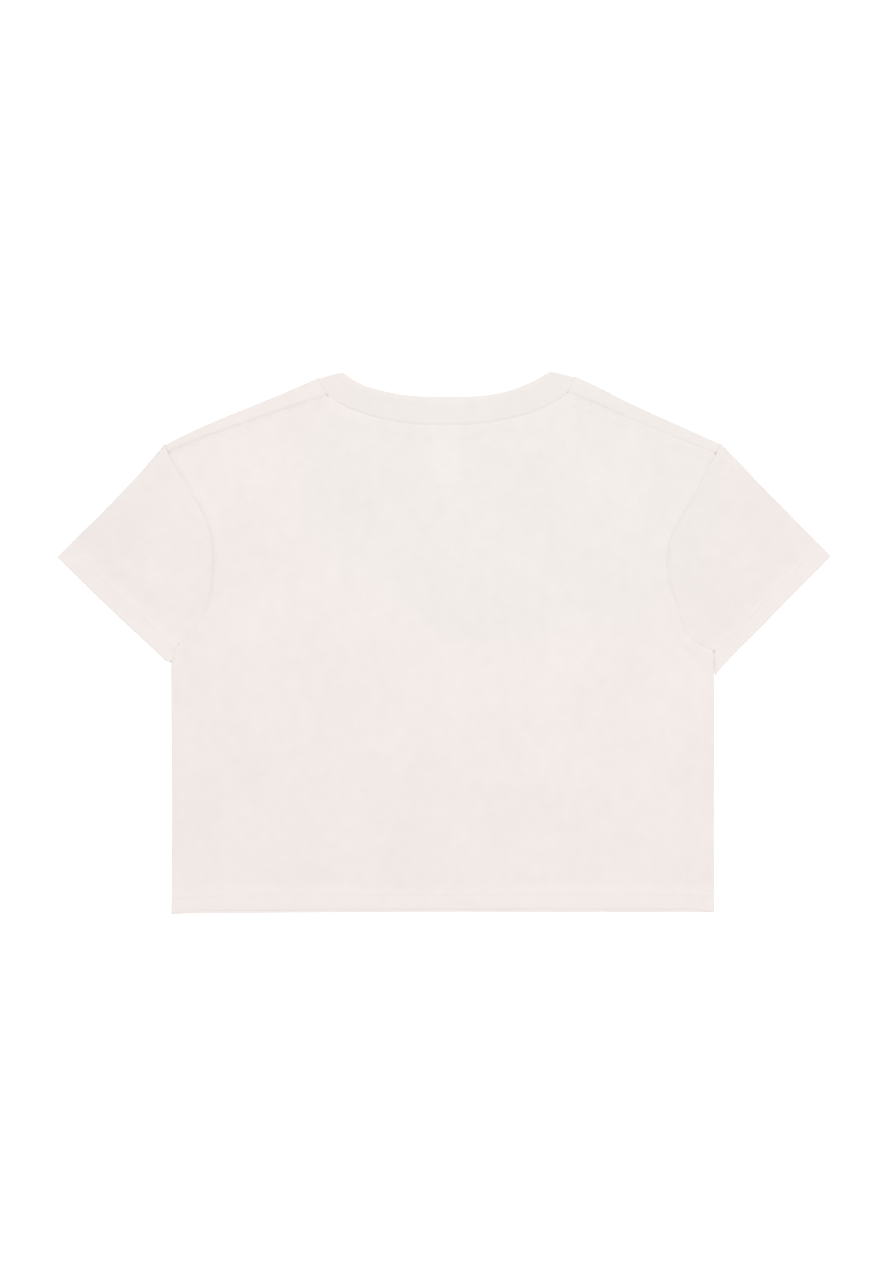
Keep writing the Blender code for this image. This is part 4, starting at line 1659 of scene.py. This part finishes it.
class Needlework:
    """All the stitches of one piece, gathered as arrays and joined into one mesh."""

    STATIONS = 5
    SIDES = 6
    TAPER = 0.94
    WIDE, HIGH = 1.15, 0.8  # the thread's flattened section, in radii

    def __init__(self, name: str) -> None:
        """Starts with no stitches."""
        self.name = name
        self.points: list[Array] = []

    def add_row(
        self,
        path: Curve,
        shares: Point,
        layer: Layer,
        relief: Callable[[Array], Array],
        radius: float = TURN_RADIUS,
    ) -> None:
        """Adds a row of stitches along a path.

        A stitch's middle line is centre + t * way + lift * (1 - t^2), for t from -1 to 1,
        and its radius shrinks as sqrt(1 - (TAPER t)^2) towards its ends.

        Args:
            path: The row, in the plane.
            shares: Where on the path it starts and ends.
            layer: Which layer the stitches lie on.
            relief: Gives the cloth's fine relief at points in the plane.
            radius: Of the cloth's turn round the outline.
        """
        thread = TOP_THREAD if layer is Layer.UPPER else UNDER_THREAD
        plan = path.at(path.even(thread.pitch, *shares))
        fine = relief(plan)
        skin = Skin(plan, np.full(len(plan), float(layer.value)), fine, 0 * fine, plan, radius)
        base = skin.base()
        base[:, 2] += layer.value * skin.height()
        way = unit(np.gradient(base, axis=0))
        up = np.array([0.0, 0.0, float(layer.value)])
        side = np.cross(way, up)
        number = np.arange(len(base))
        skew = 0.05 * np.sin(1.9 * number) + 0.03 * np.sin(0.7 * number + 1.0)
        length = thread.pitch * thread.shown * (1 + 0.06 * np.sin(2.7 * number + 0.4))
        t = np.linspace(-1, 1, self.STATIONS)[None, :, None]
        middle = base[:, None] + (way + skew[:, None] * side)[:, None] * (t * length[:, None, None] / 2)
        middle = middle + thread.lift * (1 - t**2) * up
        radius = thread.radius * np.sqrt(1 - (self.TAPER * t) ** 2)
        turn = np.linspace(0, 2 * math.pi, self.SIDES, endpoint=False)[:, None]
        ring = self.WIDE * np.cos(turn) * side[:, None, None] + self.HIGH * np.sin(turn) * up
        self.points.append(middle[:, :, None] + radius[..., None] * ring)

    def build(self, material: bpy.types.Material) -> bpy.types.Object:
        """The joined mesh: each stitch is a tube of four rings of faces with closed ends.

        Args:
            material: The thread's finish.

        Returns:
            The finished object.
        """
        points = np.concatenate(self.points)
        count = len(points)
        index = np.arange(points[0].size // 3).reshape(self.STATIONS, self.SIDES)
        tube = grid_faces(np.hstack([index, index[:, :1]]))
        first, last = index[0], index[-1]
        caps = np.array([first[[3, 2, 1, 0]], first[[5, 4, 3, 0]], last[[0, 1, 2, 3]], last[[0, 3, 4, 5]]])
        stitch = np.concatenate([tube[:, ::-1], caps[:, ::-1]])
        faces = (stitch[None] + np.arange(count)[:, None, None] * index.size).reshape(-1, 4)
        flat = on_table(points.reshape(-1, 3))
        if signed_volume(flat, faces) < 0:
            faces = faces[:, ::-1]
        mesh = mesh_of(self.name, flat, faces)
        add_values(mesh, "weave", "FLOAT_VECTOR", flat)
        made = placed(mesh, material)
        return made


def signed_volume(points: Array, faces: Array) -> float:
    """Volume inside a closed mesh, negative if its faces point inwards: the sum over its
    faces of a sixth of a . (b x c) for each triangle.

    Args:
        points: Rows of (x, y, z).
        faces: Rows of four point numbers.

    Returns:
        The volume, in cubic metres.
    """
    a, b, c, d = (points[faces[:, corner]] for corner in range(4))
    halves = (np.einsum("ij,ij->i", a, np.cross(p, q)) for p, q in ((b, c), (c, d)))
    return float(sum(halves).sum() / 6)


@dataclass(frozen=True)
class Shifted(Curve):
    """A curve moved sideways by a gap, to the left of the way in which it runs."""

    curve: Curve
    gap: float

    def at(self, shares: Array | float) -> Array:
        """Points of the moved curve."""
        return self.curve.moved_off(shares, self.gap)


@dataclass(frozen=True)
class HemLine(Curve):
    """A line a set height above a body hem, which bows as the hem does."""

    height: float
    rise: Callable[[Array], Array]

    def at(self, shares: Array | float) -> Array:
        """Points of the line from the left side seam to the right one.

        Args:
            shares: From 0 at the left side seam to 1 at the right one.

        Returns:
            The points, one for each share.
        """
        points = mix(LEFT.hem, RIGHT.hem, shares)
        fade = 1 - smooth(np.array(self.height / RISE_FADE))
        up = self.height + fade * self.rise(points[..., 0])
        return points + np.stack([0 * up, up], axis=-1)


@dataclass
class Sewing:
    """The stitches that show: the hems, the cuffs, the shoulders and the neck."""

    back: BodyPanel
    front: BodyPanel
    label: Label
    neck_row: float = 1.7 * MM
    shoulder_row: float = 3.0 * MM
    hem_ends: Point = (0.008, 0.992)  # shares of a line where its rows start and end
    shoulder_ends: Point = (0.03, 0.985)
    neck_ends: Point = (0.07, 0.93)
    cuff_end: float = 0.985
    neck_relief: float = 0.03 * MM

    def hem_rows(self, work: Needlework, panel: BodyPanel) -> None:
        """Both needle rows of a body hem.

        Args:
            work: Takes the stitches.
            panel: The hem's panel.
        """
        for height in NEEDLE_ROWS:
            line = HemLine(height, panel.rise)
            relief = partial(panel.fine, above=height, label=self.label)
            work.add_row(line, self.hem_ends, panel.cut.layer, relief)

    def cuff_rows(self, work: Needlework, sleeve: Sleeve) -> None:
        """Both needle rows of a cuff, above and below.

        Args:
            work: Takes the stitches.
            sleeve: The cuff's sleeve.
        """
        side = sleeve.side
        for height in NEEDLE_ROWS:
            for layer in (Layer.UPPER, Layer.LOWER):
                line = Shifted(Straight(side.cuff_foot, side.cuff_tip), -height * side.inward)
                relief = partial(sleeve.plain_hem, above=height, layer=layer)
                work.add_row(line, (side.row_start, self.cuff_end), layer, relief)

    def shoulder_rows(self, work: Needlework) -> None:
        """A row below each shoulder seam, through the tape that lies under it.

        Args:
            work: Takes the stitches.
        """
        for side in SIDES:
            line = Shifted(shoulder_seam(side), -self.shoulder_row * side.inward)
            relief = partial(self.back.fine, above=self.back.far, label=self.label)
            work.add_row(line, self.shoulder_ends, Layer.UPPER, relief)

    def neck_rows(self, work: Needlework) -> None:
        """A row round the back neck, just inside the band's seam."""
        line = Shifted(BACK_SEAM, self.neck_row)
        work.add_row(line, self.neck_ends, Layer.UPPER, self.on_band, RIB_RADIUS)

    def on_band(self, points: Array) -> Array:
        """Relief of the band under its row, which is even."""
        return np.full(len(points), self.neck_relief)


# --- Materials ---
def operator(operation: str, swapped: bool = False) -> Callable[["Value", "Value | float"], "Value"]:
    """A method that adds a Math node. A reflected operator has its two numbers swapped.

    Args:
        operation: The node's operation.
        swapped: Whether the operator is a reflected one.

    Returns:
        The method.
    """

    def result(self: "Value", other: "Value | float") -> "Value":
        """The node's result."""
        return self.nodes.maths(operation, *((other, self) if swapped else (self, other)))

    return result


class Value:
    """A number that a material's nodes work out at each place of the surface."""

    def __init__(self, nodes: "Nodes", socket: bpy.types.NodeSocket) -> None:
        """Wraps an output socket."""
        self.nodes, self.socket = nodes, socket

    __add__, __radd__ = operator("ADD"), operator("ADD", swapped=True)
    __sub__, __rsub__ = operator("SUBTRACT"), operator("SUBTRACT", swapped=True)
    __mul__, __rmul__ = operator("MULTIPLY"), operator("MULTIPLY", swapped=True)

    def __abs__(self) -> "Value":
        """The size without its sign."""
        return self.nodes.maths("ABSOLUTE", self)


class Nodes:
    """A material's node tree, with one way to add a node."""

    def __init__(self, name: str) -> None:
        """Starts a material with an empty Principled shader.

        Args:
            name: The material's name.
        """
        self.material = bpy.data.materials.new(name)
        self.material.use_nodes = True
        self.tree = self.material.node_tree
        self.shader = self.tree.nodes["Principled BSDF"]

    def add(self, kind: str, settings: dict | None = None, sockets: dict | None = None) -> bpy.types.Node:
        """Adds a node.

        Args:
            kind: Its type, without the ShaderNode in front.
            settings: Its own settings, which are set first.
            sockets: Values or links of its inputs, by name or number.

        Returns:
            The node.
        """
        node = self.tree.nodes.new("ShaderNode" + kind)
        for key, value in (settings or {}).items():
            setattr(node, key, value)
        for key, value in (sockets or {}).items():
            self.set(node.inputs[key], value)
        return node

    def set(self, socket: bpy.types.NodeSocket, value: "Value | bpy.types.NodeSocket | Number") -> None:
        """Links a value to a socket, or sets the number or vector on it.

        Args:
            socket: An input of a node.
            value: What it gets.
        """
        if isinstance(value, Value):
            value = value.socket
        if isinstance(value, bpy.types.NodeSocket):
            self.tree.links.new(value, socket)
        else:
            socket.default_value = value

    def finished(self, sockets: dict) -> bpy.types.Material:
        """The material, with these values or links of its shader's inputs, by name.

        Args:
            sockets: The values or links.

        Returns:
            The material.
        """
        for key, value in sockets.items():
            self.set(self.shader.inputs[key], value)
        return self.material

    def maths(self, operation: str, *values: "Value | float") -> Value:
        """A Math node's result."""
        node = self.add("Math", {"operation": operation}, dict(enumerate(values)))
        return Value(self, node.outputs[0])

    def place(self) -> bpy.types.NodeSocket:
        """The cloth's own coordinates in metres: across its wales and along them."""
        return self.add("Attribute", {"attribute_name": "weave"}).outputs["Vector"]

    def spot(self) -> bpy.types.NodeSocket:
        """The place on the laid garment in metres."""
        return self.add("TexCoord").outputs["Object"]

    def parts(self, vector: bpy.types.NodeSocket) -> tuple[Value, Value]:
        """The first two parts of a vector."""
        node = self.add("SeparateXYZ", sockets={0: vector})
        return Value(self, node.outputs[0]), Value(self, node.outputs[1])

    def noise(self, vector: bpy.types.NodeSocket, per_metre: Point, detail: float = 2.0) -> Value:
        """Noise from -1 to 1 with so many waves a metre across and along the cloth.

        Args:
            vector: The coordinates that it reads.
            per_metre: Waves a metre across and along.
            detail: How many finer noises it adds.

        Returns:
            The noise.
        """
        scaled = self.add("VectorMath", {"operation": "MULTIPLY"}, {0: vector, 1: (*per_metre, 1.0)})
        node = self.add("TexNoise", sockets={"Vector": scaled.outputs[0], "Scale": 1.0, "Detail": detail})
        return (Value(self, node.outputs[0]) - 0.5) * 2.0

    def ramp(self, value: Value, low: float, high: float) -> Value:
        """0 below low and 1 above high, with a soft step between.

        Args:
            value: The value.
            low: Where the step starts.
            high: Where it ends.

        Returns:
            The step.
        """
        settings = {"interpolation_type": "SMOOTHSTEP"}
        node = self.add("MapRange", settings, {"Value": value, "From Min": low, "From Max": high})
        return Value(self, node.outputs[0])

    def colour(self, share: Value, dark: tuple, light: tuple) -> bpy.types.NodeSocket:
        """A colour between two, by a share from 0 to 1.

        Args:
            share: The share.
            dark: The colour at 0.
            light: The colour at 1.

        Returns:
            The colour.
        """
        settings = {"data_type": "RGBA", "clamp_factor": True}
        node = self.add("Mix", settings, {0: share, 6: (*dark, 1.0), 7: (*light, 1.0)})
        return node.outputs[2]

    def tinted(self, colour: bpy.types.NodeSocket, tint: bpy.types.NodeSocket) -> bpy.types.NodeSocket:
        """A colour times a tint."""
        return self.add("VectorMath", {"operation": "MULTIPLY"}, {0: colour, 1: tint}).outputs[0]

    def bump(
        self, height: Value, depth: float, strength: float, under: bpy.types.NodeSocket | None = None
    ) -> bpy.types.NodeSocket:
        """The normal of a surface with this relief.

        Args:
            height: Relief, from 0 to 1.
            depth: What a height of 1 measures, in metres.
            strength: Share of it that shows.
            under: A normal that this one adds to.

        Returns:
            The normal.
        """
        sockets = {"Height": height, "Distance": depth, "Strength": strength}
        node = self.add("Bump", sockets=sockets | ({"Normal": under} if under else {}))
        return node.outputs[0]


class Knit(Enum):
    """How a cloth is made."""

    JERSEY = "jersey"
    RIB = "rib"
    WOVEN = "woven"
    THREAD = "thread"


@dataclass(frozen=True)
class PaintedLightTint:
    """Painted light in the cloth's hue: creamier within a soft oval where the lamps' light falls most, and
    rosier around it.
    """

    centre: Point = (0.062, 0.134)
    reach: Point = (0.188, 0.128)  # half its width and height
    cream: tuple[float, float, float] = (0.9900, 1.0030, 0.9968)
    rose: tuple[float, float, float] = (1.0060, 0.9976, 1.0002)
    edge: tuple[float, float] = (0.40, 1.45)  # squares of the distances where it starts and ends
    raggedness: float = 0.8

    def over(self, nodes: Nodes, clouds: Value) -> bpy.types.NodeSocket:
        """The tint at each place, by the square of its distance from the oval's centre.

        Args:
            nodes: The material's nodes.
            clouds: Noise that makes the oval's edge ragged.

        Returns:
            The tint, by which a colour is multiplied.
        """
        x, y = nodes.parts(nodes.spot())
        across = (x - self.centre[0]) * (1 / self.reach[0])
        up = (y - self.centre[1]) * (1 / self.reach[1])
        share = nodes.ramp(across * across + up * up + clouds * self.raggedness, *self.edge)
        return nodes.colour(share, self.cream, self.rose)


@dataclass(frozen=True)
class ClothFinish:
    """Colour, tone and structure of one cloth."""

    name: str
    knit: Knit
    colour: tuple[float, float, float]
    roughness: float
    across: float  # pitch of its wales or warp
    along: float  # pitch of its courses or weft
    depth: float = 0.10 * MM
    strength: float = 0.35
    mottle: float = 1.0
    sheen: float = 0.12

    def structure(self, nodes: Nodes, place: bpy.types.NodeSocket) -> Value:
        """Height of the knit or weave, from 0 to 1.

        A jersey stitch is two slanted legs beside each other in each wale. A rib has
        courses alone, because its wales are modelled. A woven cloth is a basket of sines.

        Args:
            nodes: The material's nodes.
            place: The cloth's own coordinates.

        Returns:
            The height.
        """
        x, y = nodes.parts(place)
        u, v = x * (1 / self.across), y * (1 / self.along)
        if self.knit is Knit.JERSEY:
            off = abs(nodes.maths("FRACT", u) - 0.5) * 2.0
            leg = 1.0 - abs(off - 0.5) * 1.8
            slant = nodes.maths("SINE", (v + off * 0.5) * (2 * math.pi))
            return leg * (slant * 0.3 + 0.7)
        if self.knit is Knit.RIB:
            return nodes.maths("SINE", v * (2 * math.pi)) * 0.5 + 0.5
        warp, weft = (nodes.maths("SINE", axis * (2 * math.pi)) for axis in (u, v))
        return warp * weft * 0.5 + 0.5

    def material(self) -> bpy.types.Material:
        """The finish as nodes: knit and fuzz as bump, and tone that wanders over the cloth, with painted
        light and shade carried by the mesh and a painted pool of light in the hue.

        Returns:
            The material.
        """
        nodes = Nodes(self.name)
        place = nodes.place()
        doubled = Value(nodes, nodes.add("Attribute", {"attribute_name": "doubled"}).outputs["Fac"])
        clouds = nodes.noise(place, (14.0, 11.0), 3.0) * (0.62 * self.mottle)
        patches = nodes.noise(place, (85.0, 70.0), 2.0) * (0.52 * self.mottle)
        grain = nodes.noise(place, (420.0, 360.0), 1.0) * (0.17 * self.mottle)
        slub = nodes.ramp(nodes.noise(place, (70.0, 620.0), 2.0), 0.30, 0.62) * (0.40 * self.mottle)
        fleck = nodes.ramp(nodes.noise(place, (900.0, 520.0), 1.0), 0.46, 0.66) * (0.3 * self.mottle)
        # Painted light and shade: the tone is lighter where cloth lies double, over the label and along
        # folded edges, and darker on the sleeves.
        tone = 0.53 + clouds + patches + grain - slub - fleck + doubled * 0.40
        dark = tuple(0.968 * part for part in self.colour)
        light = tuple(min(1.0, 1.022 * part) for part in self.colour)
        height = self.structure(nodes, place)
        fuzz = nodes.noise(place, (1500.0, 1300.0), 2.0) * 0.5 + 0.5
        normal = nodes.bump(height, self.depth, self.strength)
        normal = nodes.bump(fuzz, 0.05 * MM, 0.25, normal)
        finish = {
            # Painted light: the hue is creamier where the lamps' light falls most, and rosier around it.
            "Base Color": nodes.tinted(nodes.colour(tone, dark, light), PaintedLightTint().over(nodes, clouds)),
            "Roughness": self.roughness + nodes.noise(place, (160.0, 140.0), 1.0) * 0.04,
            "Normal": normal,
            "Sheen Weight": self.sheen,
            "Sheen Roughness": 0.5,
            "Specular IOR Level": 0.3,
        }
        return nodes.finished(finish)


OFF_WHITE = (0.897, 0.842, 0.815)
RIB_WHITE = (0.889, 0.834, 0.807)  # painted shade: the rib is made a little deeper in tone than the jersey, for shade in its knit's grooves
JERSEY = ClothFinish("cotton_jersey", Knit.JERSEY, OFF_WHITE, 0.92, 0.85 * MM, 0.62 * MM)
RIB = ClothFinish("cotton_rib", Knit.RIB, RIB_WHITE, 0.90, 1.5 * MM, 0.70 * MM, mottle=0.7)
LABEL_WHITE = (0.90, 0.88, 0.86)
THREAD_WHITE = (0.90, 0.858, 0.836)
FINE = {"along": 0.5 * MM, "depth": 0.05 * MM, "mottle": 0.4}  # shared by the label and the thread
LABEL_CLOTH = ClothFinish(
    "woven_label", Knit.WOVEN, LABEL_WHITE, 0.55, across=0.6 * MM, strength=0.4, sheen=0.05, **FINE
)
THREAD = ClothFinish(
    "sewing_thread", Knit.THREAD, THREAD_WHITE, 0.75, across=0.5 * MM, strength=0.3, sheen=0.1, **FINE
)


# --- Stage ---
WHITE = (1.0, 1.0, 1.0, 1.0)


@dataclass
class Stage:
    """The floor, the light and the camera straight above."""

    centre: Point = (-0.0006, 0.0021)
    distance: float = 2.722
    lens: float = 85.0
    sensor: float = 36.0
    floor_size: float = 14.0
    floor_drop: float = 0.25 * MM  # below the cloth, so that the two never fight for a pixel
    floor_colour: tuple[float, float, float, float] = (0.93, 0.93, 0.93, 1.0)
    floor_glow: float = 0.42
    sky: float = 0.680
    lit: tuple[float, float, float] = (0.05, 0.02, 0.0)  # the place that the lamps look at
    lamps: tuple[tuple[str, float, float, tuple[float, float, float]], ...] = (
        ("key", 104.0, 2.0, (0.5, 2.0, 6.0)),  # name, power, size, place
        ("fill", 0.9, 0.6, (0.06, 0.17, 1.0)),
    )

    def floor(self) -> None:
        """A plain pale floor that stays white under the garment's edge."""
        half, z = self.floor_size / 2, -self.floor_drop
        corners = np.array([(-half, -half, z), (half, -half, z), (half, half, z), (-half, half, z)])
        mesh = mesh_of("floor", corners, np.array([[0, 1, 2, 3]]))
        finish = {
            "Base Color": self.floor_colour,
            "Roughness": 0.9,
            "Specular IOR Level": 0.1,
            "Emission Color": WHITE,
            "Emission Strength": self.floor_glow,
        }
        mesh.materials.append(Nodes("pale_floor").finished(finish))
        made = linked("floor", mesh)

    def light(self) -> None:
        """An even sky, a soft lamp above the right shoulder and a low one above the back."""
        world = bpy.data.worlds.new("studio")
        world.use_nodes = True
        background = world.node_tree.nodes["Background"]
        background.inputs["Color"].default_value = WHITE
        background.inputs["Strength"].default_value = self.sky
        bpy.context.scene.world = world
        for name, power, size, place in self.lamps:
            lamp = bpy.data.lights.new(name, "AREA")
            lamp.shape = "DISK"
            lamp.size = size
            lamp.energy = power
            made = linked(name, lamp)
            made.location = place
            made.rotation_mode = "QUATERNION"
            made.rotation_quaternion = look_along(np.subtract(self.lit, place))

    def camera(self) -> None:
        """A camera straight above, with the neck upwards."""
        data = bpy.data.cameras.new("above")
        data.sensor_fit = "VERTICAL"
        data.sensor_height = self.sensor
        data.lens = self.lens
        made = linked("above", data)
        made.location = (*self.centre, self.distance)
        bpy.context.scene.camera = made

    def build(self) -> None:
        """Makes all three, and shows colours as they are."""
        self.floor()
        self.light()
        self.camera()
        bpy.context.scene.view_settings.view_transform = "Standard"
        bpy.context.scene.view_settings.look = "None"


def look_along(way: Array) -> tuple[float, float, float, float]:
    """Quaternion that turns the -Z axis to a direction: the half-way turn between them."""
    way, start = unit(way), np.array([0.0, 0.0, -1.0])
    return tuple(unit(np.array([1 + start @ way, *np.cross(start, way)])))


def main() -> None:
    """Builds the stage and the garment, and logs the points and faces of each piece as it is placed."""
    Stage().build()
    label = Label()
    back, front = BodyPanel("back_panel", BACK, back_hem_rise), BodyPanel("front_panel", FRONT, hem_rise)
    sleeves = [Sleeve(side) for side in SIDES]
    jersey, thread = JERSEY.material(), THREAD.material()
    front_cloth = front.build(jersey, label)
    back_cloth = back.build(jersey, label)
    sleeve_cloths = [sleeve.build(jersey) for sleeve in sleeves]
    band = NeckBand().build(RIB.material())
    tag = label.build(LABEL_CLOTH.material())
    sewing = Sewing(back, front, label)
    back_work, front_work = Needlework("back_stitches"), Needlework("front_stitches")
    neck_work = Needlework("neck_stitches")
    sewing.hem_rows(back_work, back)
    sewing.shoulder_rows(back_work)
    sewing.hem_rows(front_work, front)
    sewing.neck_rows(neck_work)
    for sleeve in sleeves:
        work = Needlework(f"cuff_stitches_{sleeve.side.name}")
        sewing.cuff_rows(work, sleeve)
        work.build(thread)
    back_stitches, front_stitches, neck_stitches = (
        work.build(thread) for work in (back_work, front_work, neck_work)
    )


if __name__ == "__main__":
    main()
